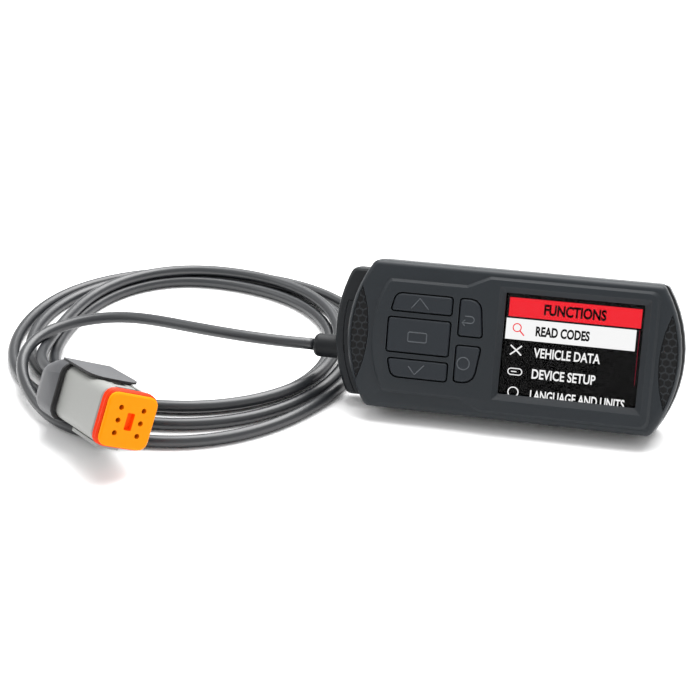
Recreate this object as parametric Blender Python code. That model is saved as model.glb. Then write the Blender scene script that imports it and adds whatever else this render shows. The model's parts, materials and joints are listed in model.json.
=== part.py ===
"""Handheld vehicle code reader with its coiled lead and sealed six-way plug.

The reader stands on its lower rear edge and leans back, its lead lies in a loose coil beside it, and
the plug rests on the coil. World frame: +X along the reader towards the screen, +Z up, origin on the
floor under the middle of the reader. Lengths are in metres.
"""

import math

import bmesh
import bpy
import numpy as np
from mathutils import Euler, Matrix, Vector

MM = 0.001
GAP = 0.3 * MM                                   # clearance between pieces that touch

# Reader, in its own frame: x along it, y up its face, z out of its face, z = 0 at the shell joint.
READER_LENGTH = 125 * MM
READER_HEIGHT = 56 * MM
END_RADIUS = 49 * MM                             # bulged ends, seen from the front
CORNER_RADIUS = 3 * MM
FACE_Z = 9.5 * MM
PANEL_RISE = 1.0 * MM
BACK_Z = -11 * MM
WALL = 2.0 * MM
REAR_OVERHANG = 1.5 * MM                         # the rear shell's free end passes the front shell's
REAR_LEFT_X = -54.5 * MM                         # flat end wall that the lead's head closes
LEAN = math.radians(20)

# Raised panel on the face
PANEL_TOP_Y = 25.6 * MM
PANEL_NECK_Y = 21.6 * MM                         # lower beside the keys
PANEL_RIGHT_X = 53 * MM
PANEL_NECK_X = (-18 * MM, -9.5 * MM)             # where the step runs
PANEL_LEFT_X = -53.1 * MM
PANEL_LEFT_RADIUS = 46 * MM

# Display
WINDOW_CENTRE = (22.1 * MM, 1.1 * MM)
WINDOW_SIZE = (51 * MM, 38.2 * MM)
BEZEL_SLOPE = 2.2 * MM
BEZEL_DEPTH = 2.0 * MM
LENS_Z = 7.2 * MM                                # top of the clear window, under the shell's inner face
LENS_THICKNESS = 1.3 * MM
LCD_SIZE = (56 * MM, 42.4 * MM)
LCD_Z = (3.3 * MM, 5.6 * MM)
TRAY_Z = (1.8 * MM, 3.0 * MM)

# Grip pockets at both ends of the face
GRIP_INNER_X = 54.1 * MM
GRIP_OUTER_INSET = 1.2 * MM
GRIP_INNER_RADIUS = 49 * MM
GRIP_DEPTH = 0.9 * MM

# Keys: the corners of each opening in the panel, anticlockwise, and each corner's radius
KEY_OPENINGS = {
    "key_up": (((-46.4, 9.3), (-22.4, 9.3), (-22.4, 16.9), (-44.6, 16.9)), (1.2, 1.2, 1.4, 3.2)),
    "key_select": (((-47.0, -6.3), (-22.5, -6.3), (-22.5, 7.6), (-47.0, 7.6)), (1.2, 1.2, 1.2, 1.2)),
    "key_down": (((-44.4, -15.8), (-22.4, -15.8), (-22.4, -8.0), (-46.4, -8.0)), (3.6, 1.4, 1.2, 1.2)),
    "key_back": (((-20.3, 2.1), (-10.3, 2.1), (-11.9, 16.9), (-20.3, 16.9)), (1.2, 1.4, 4.4, 1.4)),
    "key_circle": (((-20.5, -15.3), (-12.4, -15.3), (-10.4, -0.7), (-20.5, -0.7)), (1.4, 4.8, 1.4, 1.2)),
}
KEY_GAP = 0.55 * MM
KEY_PROUD = 0.5 * MM
KEY_BOTTOM_Z = 4.9 * MM
KEY_FLANGE_Z = (6.2 * MM, 7.2 * MM)
KEY_FLANGE_MARGIN = 0.45 * MM
DOME_RADIUS = 3.0 * MM
DOME_Z = (1.8 * MM, 2.4 * MM)
MAT_Z = (2.7 * MM, 3.9 * MM)

# Board and what is on it
BOARD_Z = (-0.1 * MM, 1.5 * MM)
BOARD_X = (-51.5 * MM, 50.5 * MM)
BOARD_HALF_WIDTH = 24.5 * MM
CHIPS = {                                        # x, y, length, width, height below the board
    "processor_chip": (4, 0, 14, 14, 1.4),
    "memory_chip": (22, 9, 10, 7, 1.1),
    "radio_module": (39, -6, 17, 13, 2.4),
    "power_converter": (-26, 10, 9, 9, 3.2),
}

# Case screws, driven from the back into bosses of the front shell
SCREW_PLACES = ((-48.5, 21.5), (-48.5, -21.5), (54.2, 18.0), (54.2, -18.0))
BOSS_RADIUS = 2.4 * MM
SCREW_HEAD_RADIUS = 1.9 * MM
SCREW_SHANK_RADIUS = 0.9 * MM
SCREW_SEAT_Z = -9.0 * MM
SCREW_TIP_Z = 5.0 * MM

# Moulded head of the lead, plugged into the reader's left end
HEAD_OFFSET = 6.7 * MM                           # beyond the front shell's end arc
HEAD_TOP_Y = 23.8 * MM
HEAD_BOTTOM_Y = -25.6 * MM
HEAD_GROOVE_RADIUS = 52.3 * MM
HEAD_GROOVE_TOP_Y = 10.8 * MM
HEAD_GROOVE = 0.6 * MM
RELIEF_Y = -8.4 * MM
RELIEF_RADIUS = 4.6 * MM
RELIEF_ROOT_X = -64.3 * MM
RELIEF_END_X = -78.0 * MM
PIN_BLOCK_HALF = (6.5 * MM, 2.3 * MM)            # half width and half thickness
PIN_BLOCK_X = (-58 * MM, -46.5 * MM)
PIN_BLOCK_Z = -5.2 * MM

# Lead
CORD_RADIUS = 2.35 * MM
LEAD_ROUTE = (                                   # from the strain relief to where it lands on the coil
    (-90, 1.5, 19.6), (-104, 2.6, 19.4), (-120, 5.6, 18.8), (-136, 10.0, 17.6), (-152, 14.6, 16.4),
    (-168, 16.2, 15.0), (-180, 13.2, 13.6), (-187, 8.4, 12.7), (-190.5, 4.4, 12.3))
TAIL_ROUTE = ((-171, -36.6, 14.2), (-176, -32.0, 13.2), (-181, -26.6, 12.3))
COIL_CENTRE = (-138.5 * MM, 18.5 * MM)
COIL_OUTER_RADIUS = 77.8 * MM
COIL_INNER_RADIUS = 50.5 * MM
COIL_HEIGHT = 9.4 * MM

# Six-way plug, in its own frame: x out of its nose, z towards its upper latch
PLUG_PLACE = (-126.4 * MM, -76.8 * MM, 22.1 * MM)
PLUG_TURN = (math.radians(-26), math.radians(-8), math.radians(-42))
WEDGE_SIZE = 19.7 * MM
WEDGE_THICKNESS = 1.4 * MM
SEAL_X = (-5.2 * MM, -1.7 * MM)
HOUSING_X = (-37 * MM, -5.5 * MM)
HOUSING_SIZE = 20.6 * MM
BOOT_X = (-57 * MM, -35.5 * MM)
BOOT_SIZE = (25.2 * MM, 22.8 * MM)               # across and up
BOOT_FALL = 3.0 * MM                             # its top slopes down to the back
BOOT_TONGUE_Z = (10.6 * MM, 11.5 * MM)
BOOT_TONGUE_WIDTH = 20 * MM
BOOT_TONGUE_END = -15 * MM
CAVITY_PITCH = (9.2 * MM, 4.7 * MM)              # across and up
CONTACT_PLACES = ((-1, 0), (1, 1), (1, 0), (1, -1))
BLANK_PLACES = ((-1, 1), (-1, -1))
LATCH_X = (-31 * MM, -9 * MM)
LATCH_HINGE_X = -15 * MM
LATCH_HALF_WIDTH = 4.6 * MM
LATCH_THICKNESS = 1.3 * MM
LATCH_STANDOFF = {"upper": -1.45 * MM, "lower": 1.3 * MM}   # the upper one is sunk under the boot's tongue
LATCH_RECESS = 2.75 * MM


# Outlines ---------------------------------------------------------------------------------------

def arc_points(centre, radius, start, end, steps):
    """Points on an arc from the start angle to the end angle, both ends included."""
    angles = np.linspace(start, end, steps + 1)
    return [(centre[0] + radius * math.cos(a), centre[1] + radius * math.sin(a)) for a in angles]


def rounded_polygon(corners, radii, steps=3):
    """A polygon's outline with each corner turned to its own radius; 0 keeps the corner."""
    outline = []
    count = len(corners)
    for index in range(count):
        here = Vector(corners[index])
        arriving = (here - Vector(corners[index - 1])).normalized()
        leaving = (Vector(corners[(index + 1) % count]) - here).normalized()
        turn = math.atan2(arriving.x * leaving.y - arriving.y * leaving.x, arriving.dot(leaving))
        radius = radii[index]
        if radius <= 0 or abs(turn) < 0.01:
            outline.append(tuple(here))
            continue
        side = math.copysign(1, turn)
        start = here - arriving * radius * math.tan(abs(turn) / 2)
        centre = start + Vector((-arriving.y, arriving.x)) * radius * side
        spoke = start - centre
        for step in range(steps + 1):
            outline.append(tuple(centre + Matrix.Rotation(turn * step / steps, 2) @ spoke))
    return outline


def offset_corners(corners, distance):
    """Moves every edge of an anticlockwise polygon outwards by the distance."""
    moved = []
    count = len(corners)
    for index in range(count):
        here = Vector(corners[index])
        arriving = (here - Vector(corners[index - 1])).normalized()
        leaving = (Vector(corners[(index + 1) % count]) - here).normalized()
        out_a = Vector((arriving.y, -arriving.x))
        out_b = Vector((leaving.y, -leaving.x))
        moved.append(tuple(here + (out_a + out_b) * distance / (1 + out_a.dot(out_b))))
    return moved


def barrel_outline(half_length, half_height, end_radius, corner_radius, inset=0.0, flat_left=None):
    """The reader's outline: straight top and bottom, bulged ends; flat_left squares the left end."""
    half_height -= inset
    radius = end_radius - inset
    corner = max(corner_radius - inset, 0.4 * MM)
    end_centre = half_length - end_radius
    reach = math.sqrt((radius - corner) ** 2 - (half_height - corner) ** 2)
    spoke_angle = math.atan2(half_height - corner, reach)
    corner_centre = (end_centre + reach, half_height - corner)
    quarter = arc_points((end_centre, 0), radius, 0, spoke_angle, 6)
    quarter += arc_points(corner_centre, corner, spoke_angle, math.pi / 2, 3)[1:]
    right = [(x, -y) for x, y in reversed(quarter)][:-1] + quarter
    if flat_left is None:
        left = [(-x, -y) for x, y in right]
        return right + left
    left_x = flat_left + inset
    turned = rounded_polygon([(0, half_height), (left_x, half_height), (left_x, -half_height),
                              (0, -half_height)], [0, corner, corner, 0])
    return right + turned[1:-1]


def square_outline(size_x, size_y, radius, centre=(0, 0), steps=3):
    """A rectangle with rounded corners."""
    x, y = size_x / 2, size_y / 2
    corners = [(centre[0] + sx * x, centre[1] + sy * y) for sx, sy in ((-1, -1), (1, -1), (1, 1), (-1, 1))]
    return rounded_polygon(corners, [radius] * 4, steps)


def disc_outline(radius, centre=(0, 0), sides=20):
    """A regular polygon that stands for a circle."""
    return arc_points(centre, radius, 0, 2 * math.pi, sides)[:-1]


# Solids -----------------------------------------------------------------------------------------

def make_object(name, mesh, material=None, parent=None, location=(0, 0, 0)):
    """Links a mesh into the scene under its name, material and parent."""
    part = bpy.data.objects.new(name, mesh)
    bpy.context.collection.objects.link(part)
    part.parent = parent
    part.location = location
    if material is not None:
        mesh.materials.append(material)
    return part


def finish_mesh(name, body):
    """Turns a closed bmesh into a mesh with outward faces and smooth round sides."""
    bmesh.ops.recalc_face_normals(body, faces=body.faces)
    mesh = bpy.data.meshes.new(name)
    body.to_mesh(mesh)
    body.free()
    mesh.shade_smooth()
    mesh.set_sharp_from_angle(angle=math.radians(32))
    return mesh


def loft_mesh(name, sections, axis="z"):
    """Skins equal-count outlines at rising heights along an axis and caps both ends."""
    body = bmesh.new()
    rings = []
    for outline, height in sections:
        if axis == "z":
            ring = [body.verts.new((x, y, height)) for x, y in outline]
        else:
            ring = [body.verts.new((height, x, y)) for x, y in outline]
        rings.append(ring)
    for lower, upper in zip(rings, rings[1:]):
        count = len(lower)
        for index in range(count):
            after = (index + 1) % count
            body.faces.new((lower[index], lower[after], upper[after], upper[index]))
    body.faces.new(list(reversed(rings[0])))
    body.faces.new(rings[-1])
    return finish_mesh(name, body)


def loft(name, sections, material=None, parent=None, location=(0, 0, 0), axis="z"):
    """A lofted solid as an object."""
    return make_object(name, loft_mesh(name, sections, axis), material, parent, location)


def prism(name, outline, low, high, material=None, parent=None, location=(0, 0, 0), axis="z"):
    """An outline pushed straight along an axis."""
    return loft(name, [(outline, low), (outline, high)], material, parent, location, axis)


def add_boolean(target, tool, operation):
    """Adds or removes a tool's volume and hides the tool."""
    tool.hide_render = True
    tool.display_type = "WIRE"
    modifier = target.modifiers.new(tool.name, "BOOLEAN")
    modifier.operation = operation
    modifier.object = tool


def cut(target, tool):
    """Removes the tool's volume from the target."""
    add_boolean(target, tool, "DIFFERENCE")


def fuse(target, tool):
    """Joins the tool's volume to the target."""
    add_boolean(target, tool, "UNION")


def plastic(name, colour, roughness=0.5, metallic=0.0):
    """A Principled material."""
    material = bpy.data.materials.new(name)
    material.use_nodes = True
    shader = material.node_tree.nodes["Principled BSDF"]
    shader.inputs["Base Color"].default_value = (*colour, 1)
    shader.inputs["Roughness"].default_value = roughness
    shader.inputs["Metallic"].default_value = metallic
    return material


def in_mm(points):
    """Scales hand-written millimetre points to metres."""
    return [tuple(value * MM for value in point) for point in points]


# Reader -----------------------------------------------------------------------------------------

def front_outline(inset=0.0):
    """The front shell's outline, moved inwards by the inset."""
    return barrel_outline(READER_LENGTH / 2, READER_HEIGHT / 2, END_RADIUS, CORNER_RADIUS, inset)


def rear_outline(inset=0.0):
    """The rear shell's outline, flat at its left end and longer at its right end."""
    return barrel_outline(READER_LENGTH / 2 + REAR_OVERHANG, READER_HEIGHT / 2, END_RADIUS,
                          CORNER_RADIUS, inset, REAR_LEFT_X)


def panel_corners():
    """Corners of the raised panel, anticlockwise, with their radii."""
    half_chord = PANEL_NECK_Y - 2.2 * MM
    arc_centre = (PANEL_LEFT_X + PANEL_LEFT_RADIUS, 0)
    spread = math.asin(half_chord / PANEL_LEFT_RADIUS)
    left_arc = arc_points(arc_centre, PANEL_LEFT_RADIUS, math.pi - spread, math.pi + spread, 6)
    step_left, step_right = PANEL_NECK_X
    slant = left_arc[0][0] + 1.6 * MM
    upper = [(PANEL_RIGHT_X, PANEL_TOP_Y), (step_right, PANEL_TOP_Y), (step_left, PANEL_NECK_Y),
             (slant, PANEL_NECK_Y)]
    lower = [(x, -y) for x, y in reversed(upper)]
    corners = upper + left_arc + lower
    radii = [3 * MM, 2 * MM, 2 * MM, 1.5 * MM] + [0] * len(left_arc) + [1.5 * MM, 2 * MM, 2 * MM, 3 * MM]
    return corners, radii


def lens_outline(side):
    """Outline of a grip pocket: two arcs that meet in points, at the left (-1) or right (1) end."""
    outer_radius = END_RADIUS - GRIP_OUTER_INSET
    outer_x = READER_LENGTH / 2 - END_RADIUS
    inner_x = GRIP_INNER_X + GRIP_INNER_RADIUS
    spacing = inner_x - outer_x
    along = (spacing ** 2 + outer_radius ** 2 - GRIP_INNER_RADIUS ** 2) / (2 * spacing)
    tip = math.sqrt(outer_radius ** 2 - along ** 2)
    outer_spread = math.asin(tip / outer_radius)
    inner_spread = math.asin(tip / GRIP_INNER_RADIUS)
    outline = arc_points((outer_x, 0), outer_radius, -outer_spread, outer_spread, 10)
    outline += arc_points((inner_x, 0), GRIP_INNER_RADIUS, math.pi - inner_spread,
                          math.pi + inner_spread, 10)[1:-1]
    if side < 0:
        outline = [(-x, y) for x, y in reversed(outline)]
    return outline


def build_front_shell(pose, material):
    """Face, rim, raised panel and screw bosses, opened for the screen and the keys."""
    shell = loft("front_shell", [
        (front_outline(0.3 * MM), 0), (front_outline(), 0.5 * MM), (front_outline(), FACE_Z - 2.0 * MM),
        (front_outline(0.3 * MM), FACE_Z - 1.1 * MM), (front_outline(0.9 * MM), FACE_Z - 0.4 * MM),
        (front_outline(1.8 * MM), FACE_Z)], material, pose)
    corners, radii = panel_corners()
    top_corners = offset_corners(corners, -PANEL_RISE)
    fuse(shell, loft("panel_tool", [
        (rounded_polygon(corners, radii), FACE_Z - 0.6 * MM), (rounded_polygon(corners, radii), FACE_Z),
        (rounded_polygon(top_corners, radii), FACE_Z + PANEL_RISE)], parent=pose))
    cut(shell, prism("front_hollow", front_cavity_outline(), -1 * MM, FACE_Z - WALL, parent=pose))
    cut(shell, prism("end_pocket", end_pocket_outline(), -1 * MM, FACE_Z - 3.2 * MM, parent=pose))
    for index, place in enumerate(in_mm(SCREW_PLACES)):
        fuse(shell, prism(f"front_boss_{index}", disc_outline(BOSS_RADIUS, place, 14), 0.2 * MM,
                          FACE_Z - 1.2 * MM, parent=pose))
        cut(shell, prism(f"pilot_hole_{index}", disc_outline(SCREW_SHANK_RADIUS + GAP, place, 12),
                         -1 * MM, SCREW_TIP_Z + 0.5 * MM, parent=pose))
    panel_z = FACE_Z + PANEL_RISE
    grow = 2 * BEZEL_SLOPE
    beyond = 1.4
    cut(shell, loft("screen_opening", [
        (square_outline(*WINDOW_SIZE, 0.6 * MM, WINDOW_CENTRE, 2), FACE_Z - 2 * WALL),
        (square_outline(*WINDOW_SIZE, 0.6 * MM, WINDOW_CENTRE, 2), panel_z - BEZEL_DEPTH),
        (square_outline(WINDOW_SIZE[0] + grow * beyond, WINDOW_SIZE[1] + grow * beyond, 0.6 * MM,
                        WINDOW_CENTRE, 2), panel_z + BEZEL_DEPTH * (beyond - 1))], parent=pose))
    for name, (corners, radii) in KEY_OPENINGS.items():
        outline = rounded_polygon(in_mm(corners), [r * MM for r in radii])
        cut(shell, prism(f"{name}_opening", outline, FACE_Z - 2 * WALL, panel_z + 1 * MM, parent=pose))
    for side, label in ((-1, "left"), (1, "right")):
        cut(shell, prism(f"{label}_grip_pocket", lens_outline(side), FACE_Z - GRIP_DEPTH,
                         panel_z + 1 * MM, parent=pose))
    return shell


def front_cavity_outline():
    """The space inside the front shell, flat at the left like the rear shell."""
    return barrel_outline(READER_LENGTH / 2, READER_HEIGHT / 2, END_RADIUS, CORNER_RADIUS, WALL + 0.2 * MM,
                          REAR_LEFT_X)


def end_pocket_outline():
    """The hollow under the front shell's left lobe, outside the reader's end wall."""
    radius = END_RADIUS - WALL
    spread = math.asin(20 * MM / radius)
    arc = arc_points((-READER_LENGTH / 2 + END_RADIUS, 0), radius, math.pi - spread, math.pi + spread, 8)
    return arc + [(REAR_LEFT_X - 0.6 * MM, arc[-1][1]), (REAR_LEFT_X - 0.6 * MM, arc[0][1])]


def build_rear_shell(pose, material):
    """Back tray with its bosses, screw seats, label recess and the window for the lead's pin block."""
    rim_z = -1.5 * MM
    shell = loft("rear_shell", [
        (rear_outline(2.4 * MM), BACK_Z), (rear_outline(1.1 * MM), BACK_Z + 0.5 * MM),
        (rear_outline(0.35 * MM), BACK_Z + 1.3 * MM), (rear_outline(), BACK_Z + 2.4 * MM),
        (rear_outline(), rim_z - 0.5 * MM), (rear_outline(0.4 * MM), rim_z)], material, pose)
    cut(shell, prism("rear_hollow", rear_outline(WALL + 0.4 * MM), BACK_Z + WALL, 1 * MM, parent=pose))
    for index, place in enumerate(in_mm(SCREW_PLACES)):
        fuse(shell, prism(f"rear_boss_{index}", disc_outline(BOSS_RADIUS + 0.4 * MM, place, 14),
                          BACK_Z + 1 * MM, rim_z, parent=pose))
        cut(shell, prism(f"screw_clearance_{index}", disc_outline(SCREW_SHANK_RADIUS + GAP, place, 12),
                         BACK_Z - 1 * MM, 1 * MM, parent=pose))
        cut(shell, prism(f"screw_seat_{index}", disc_outline(SCREW_HEAD_RADIUS + 0.4 * MM, place, 16),
                         BACK_Z - 1 * MM, SCREW_SEAT_Z + GAP, parent=pose))
    width, thickness = PIN_BLOCK_HALF
    cut(shell, prism("pin_block_window", square_outline(
        2 * width + 1.2 * MM, 2 * thickness + 1.2 * MM, 1 * MM, (0, PIN_BLOCK_Z)),
        REAR_LEFT_X - 1 * MM, REAR_LEFT_X + 2 * WALL, parent=pose, axis="x"))
    cut(shell, prism("label_recess", square_outline(62 * MM, 32 * MM, 2 * MM, (2 * MM, 0)),
                     BACK_Z - 1 * MM, BACK_Z + 0.4 * MM, parent=pose))
    return shell


def build_gasket(pose, material):
    """Flat seal between the two shells."""
    low, high = -1.2 * MM, -GAP
    outline = barrel_outline(READER_LENGTH / 2, READER_HEIGHT / 2, END_RADIUS, CORNER_RADIUS, 0.5 * MM,
                             REAR_LEFT_X)
    gasket = prism("shell_gasket", outline, low, high, material, pose)
    cut(gasket, prism("gasket_hollow", front_cavity_outline(), low - 1 * MM, high + 1 * MM, parent=pose))


def build_display(pose, materials):
    """Clear window, screen module, its tray and its flat cable."""
    x, y = WINDOW_CENTRE
    prism("display_window", square_outline(55 * MM, 42 * MM, 1.5 * MM, WINDOW_CENTRE),
          LENS_Z - LENS_THICKNESS, LENS_Z, materials["glass"], pose)
    prism("display_panel", square_outline(*LCD_SIZE, 0.8 * MM, WINDOW_CENTRE), *LCD_Z,
          materials["screen"], pose)
    tray = prism("display_tray", square_outline(57.4 * MM, 43.6 * MM, 1.2 * MM, WINDOW_CENTRE), *TRAY_Z,
                 materials["steel"], pose)
    cut(tray, prism("tray_opening", square_outline(46 * MM, 32 * MM, 2 * MM, WINDOW_CENTRE),
                    TRAY_Z[0] - 1 * MM, TRAY_Z[1] + 1 * MM, parent=pose))
    edge = x - LCD_SIZE[0] / 2 - GAP
    half = 0.12 * MM
    upper = 4.5 * MM
    lower = DOME_Z[0] + half
    bend = [(edge, upper), (edge - 0.9 * MM, upper - 0.2 * MM), (edge - 1.3 * MM, upper - 1.0 * MM),
            (edge - 1.4 * MM, lower + 0.9 * MM), (edge - 1.8 * MM, lower + 0.2 * MM),
            (edge - 2.6 * MM, lower), (edge - 5.0 * MM, lower)]
    ribbon_outline = thick_line(bend, half)
    ribbon = prism("display_ribbon", ribbon_outline, -7 * MM, 7 * MM, materials["ribbon"], pose,
                   (0, y, 0))
    ribbon.rotation_euler = (math.radians(90), 0, 0)


def thick_line(points, half):
    """The outline of a strip that follows a line, at half its thickness to each side."""
    sides = ([], [])
    for index, point in enumerate(points):
        before = Vector(points[max(index - 1, 0)])
        after = Vector(points[min(index + 1, len(points) - 1)])
        along = (after - before).normalized()
        across = Vector((-along.y, along.x)) * half
        sides[0].append(tuple(Vector(point) + across))
        sides[1].append(tuple(Vector(point) - across))
    return sides[0] + list(reversed(sides[1]))


def key_centre(corners):
    """The middle of a key's corners, in metres."""
    points = in_mm(corners)
    return (sum(p[0] for p in points) / len(points), sum(p[1] for p in points) / len(points))


def build_keys(pose, materials):
    """Five keys with retaining flanges, a rubber mat and a snap dome under each key."""
    top = FACE_Z + PANEL_RISE + KEY_PROUD
    for name, (corners, radii) in KEY_OPENINGS.items():
        centre = key_centre(corners)
        opening = [(x - centre[0], y - centre[1]) for x, y in in_mm(corners)]
        radii = [r * MM for r in radii]
        cap = rounded_polygon(offset_corners(opening, -KEY_GAP), [r - 0.4 * MM for r in radii])
        worn = rounded_polygon(offset_corners(opening, -KEY_GAP - 0.45 * MM), [r - 0.4 * MM for r in radii])
        flange = rounded_polygon(offset_corners(opening, KEY_FLANGE_MARGIN), [r + 0.4 * MM for r in radii])
        low, high = KEY_FLANGE_Z
        loft(name, [(cap, KEY_BOTTOM_Z), (cap, low), (flange, low + 0.05 * MM), (flange, high - 0.05 * MM),
                    (cap, high), (cap, top - 0.45 * MM), (worn, top)],
             materials["key"], pose, (*centre, 0))
        dome_name = name.replace("key", "dome")
        waist = 0.55 * DOME_RADIUS
        loft(dome_name, [(disc_outline(DOME_RADIUS), DOME_Z[0]),
                         (disc_outline(DOME_RADIUS * 0.9), DOME_Z[0] + 0.25 * MM),
                         (disc_outline(waist), DOME_Z[1])], materials["steel"], pose, (*centre, 0))
    mat_outline = square_outline(39.8 * MM, 36 * MM, 2 * MM, (-28.9 * MM, 0.5 * MM))
    prism("keypad_mat", mat_outline, *MAT_Z, materials["rubber"], pose)


def build_board(pose, materials):
    """Main board with its chips and the socket for the lead's pin block."""
    left, right = BOARD_X
    board = prism("main_board", square_outline(right - left, 2 * BOARD_HALF_WIDTH, 1.5 * MM,
                                               ((left + right) / 2, 0)), *BOARD_Z, materials["board"], pose)
    notch = 2 * (BOSS_RADIUS + 1.4 * MM)
    for index, (x, y) in enumerate(in_mm(SCREW_PLACES[:2])):
        corner = (x - 1 * MM, y + math.copysign(1 * MM, y))
        cut(board, prism(f"board_notch_{index}", square_outline(notch, notch, 1 * MM, corner),
                         BOARD_Z[0] - 1 * MM, BOARD_Z[1] + 1 * MM, parent=pose))
    for name, (x, y, length, width, height) in CHIPS.items():
        top = BOARD_Z[0] - GAP
        prism(name, square_outline(length * MM, width * MM, 0.5 * MM, (x * MM, y * MM), 2),
              top - height * MM, top, materials["chip"], pose)
    width, thickness = PIN_BLOCK_HALF
    socket_x = (REAR_LEFT_X + WALL + 0.9 * MM, -43 * MM)
    socket_z = (BACK_Z + WALL + GAP, BOARD_Z[0] - GAP)
    socket = prism("board_socket", square_outline(2 * width + 4.4 * MM, socket_z[1] - socket_z[0], 0.6 * MM,
                                                  (0, sum(socket_z) / 2)), *socket_x,
                   materials["chip"], pose, axis="x")
    cut(socket, prism("socket_slot", square_outline(2 * (width + GAP), 2 * (thickness + GAP), 0.6 * MM,
                                                    (0, PIN_BLOCK_Z)),
                      socket_x[0] - 1 * MM, PIN_BLOCK_X[1] + 0.8 * MM, parent=pose, axis="x"))


def build_screws(pose, material):
    """Four case screws with a cross drive, turned about their own axes."""
    for index, place in enumerate(in_mm(SCREW_PLACES)):
        head_z = SCREW_SEAT_Z - 1.5 * MM
        screw = loft(f"case_screw_{index + 1}", [
            (disc_outline(SCREW_HEAD_RADIUS * 0.8, sides=16), head_z),
            (disc_outline(SCREW_HEAD_RADIUS, sides=16), head_z + 0.4 * MM),
            (disc_outline(SCREW_HEAD_RADIUS, sides=16), SCREW_SEAT_Z),
            (disc_outline(SCREW_SHANK_RADIUS, sides=16), SCREW_SEAT_Z + 0.01 * MM),
            (disc_outline(SCREW_SHANK_RADIUS, sides=16), SCREW_TIP_Z - 0.8 * MM),
            (disc_outline(SCREW_SHANK_RADIUS * 0.4, sides=16), SCREW_TIP_Z)], material, pose, (*place, 0))
        for turn, label in ((0, "a"), (90, "b")):
            bar = square_outline(2.4 * MM, 0.5 * MM, 0.05 * MM, steps=1)
            slot = prism(f"drive_slot_{index}_{label}", bar,
                         head_z - 1 * MM, head_z + 0.8 * MM, parent=pose, location=(*place, 0))
            slot.rotation_euler = (0, 0, math.radians(turn))
            cut(screw, slot)


# Lead -------------------------------------------------------------------------------------------

def head_outline(inset=0.0):
    """The head's outline: flat where it meets the reader, an arc parallel to the reader's end."""
    centre_x = -READER_LENGTH / 2 + END_RADIUS
    radius = END_RADIUS + HEAD_OFFSET - inset
    top, bottom = HEAD_TOP_Y - inset, HEAD_BOTTOM_Y + inset
    arc = arc_points((centre_x, 0), radius, math.pi - math.asin(top / radius),
                     math.pi + math.asin(-bottom / radius), 12)
    inner = REAR_LEFT_X - GAP
    corners = [(inner, top)] + arc + [(inner, bottom)]
    soft = max(3.0 * MM - inset, 0.5 * MM)
    radii = [0, soft] + [0] * (len(arc) - 2) + [soft, 0]
    return rounded_polygon(corners, radii)


def build_head(pose, materials):
    """Moulded head, its parting groove, pin block, seal and strain relief."""
    front, back = -GAP, BACK_Z + 0.2 * MM
    head = loft("lead_head", [(head_outline(1.2 * MM), back), (head_outline(0.4 * MM), back + 0.5 * MM),
                              (head_outline(), back + 1.4 * MM), (head_outline(), front - 1.4 * MM),
                              (head_outline(0.4 * MM), front - 0.5 * MM), (head_outline(1.2 * MM), front)],
                materials["moulding"], pose)
    centre_x = -READER_LENGTH / 2 + END_RADIUS
    top_angle = math.pi - math.asin(HEAD_GROOVE_TOP_Y / HEAD_GROOVE_RADIUS)
    low_angle = math.pi + math.asin(27 * MM / HEAD_GROOVE_RADIUS)
    spine = arc_points((centre_x, 0), HEAD_GROOVE_RADIUS, low_angle, top_angle, 10)
    groove_outline = thick_line([*spine[:-1], (spine[-1][0] - 0.1 * MM, spine[-1][1]),
                                 (spine[-1][0] + 4.4 * MM, spine[-1][1])], HEAD_GROOVE / 2)
    cut(head, prism("head_groove", groove_outline, front - 0.7 * MM, front + 1 * MM, parent=pose))
    middle = (front + back) / 2
    cut(head, prism("relief_bore", disc_outline(RELIEF_RADIUS + GAP, (RELIEF_Y, middle), 20),
                    -72 * MM, RELIEF_ROOT_X + GAP, parent=pose, axis="x"))
    width, thickness = PIN_BLOCK_HALF
    block_centre = (0, PIN_BLOCK_Z)
    for tool, margin, deep_x in (("block_pocket", GAP, PIN_BLOCK_X[0] - GAP),
                                 ("seal_pocket", 1.6 * MM, REAR_LEFT_X - GAP - 1.7 * MM)):
        cut(head, prism(tool, square_outline(2 * (width + margin), 2 * (thickness + margin), 1 * MM,
                                             block_centre), deep_x, -50 * MM, parent=pose, axis="x"))
    prism("pin_block", square_outline(2 * width, 2 * thickness, 0.8 * MM, block_centre), *PIN_BLOCK_X,
          materials["chip"], pose, axis="x")
    seal_x = (REAR_LEFT_X - GAP - 1.4 * MM, REAR_LEFT_X - GAP)
    seal = prism("head_seal", square_outline(2 * (width + 1.3 * MM), 2 * (thickness + 1.3 * MM), 1 * MM,
                                             block_centre), *seal_x, materials["seal"], pose, axis="x")
    cut(seal, prism("seal_hole", square_outline(2 * (width + GAP), 2 * (thickness + GAP), 0.8 * MM,
                                                block_centre), seal_x[0] - 1 * MM, seal_x[1] + 1 * MM,
                    parent=pose, axis="x"))
    relief_centre = (RELIEF_Y, middle)
    loft("strain_relief", [(disc_outline(radius, relief_centre, 24), x) for x, radius in (
        (RELIEF_END_X, RELIEF_RADIUS - 1.6 * MM), (RELIEF_END_X + 0.5 * MM, RELIEF_RADIUS - 0.6 * MM),
        (RELIEF_END_X + 1.6 * MM, RELIEF_RADIUS), (RELIEF_ROOT_X, RELIEF_RADIUS))],
         materials["moulding"], pose, axis="x")
    return pose.matrix_world @ Vector((RELIEF_END_X - GAP, RELIEF_Y, middle))


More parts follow.
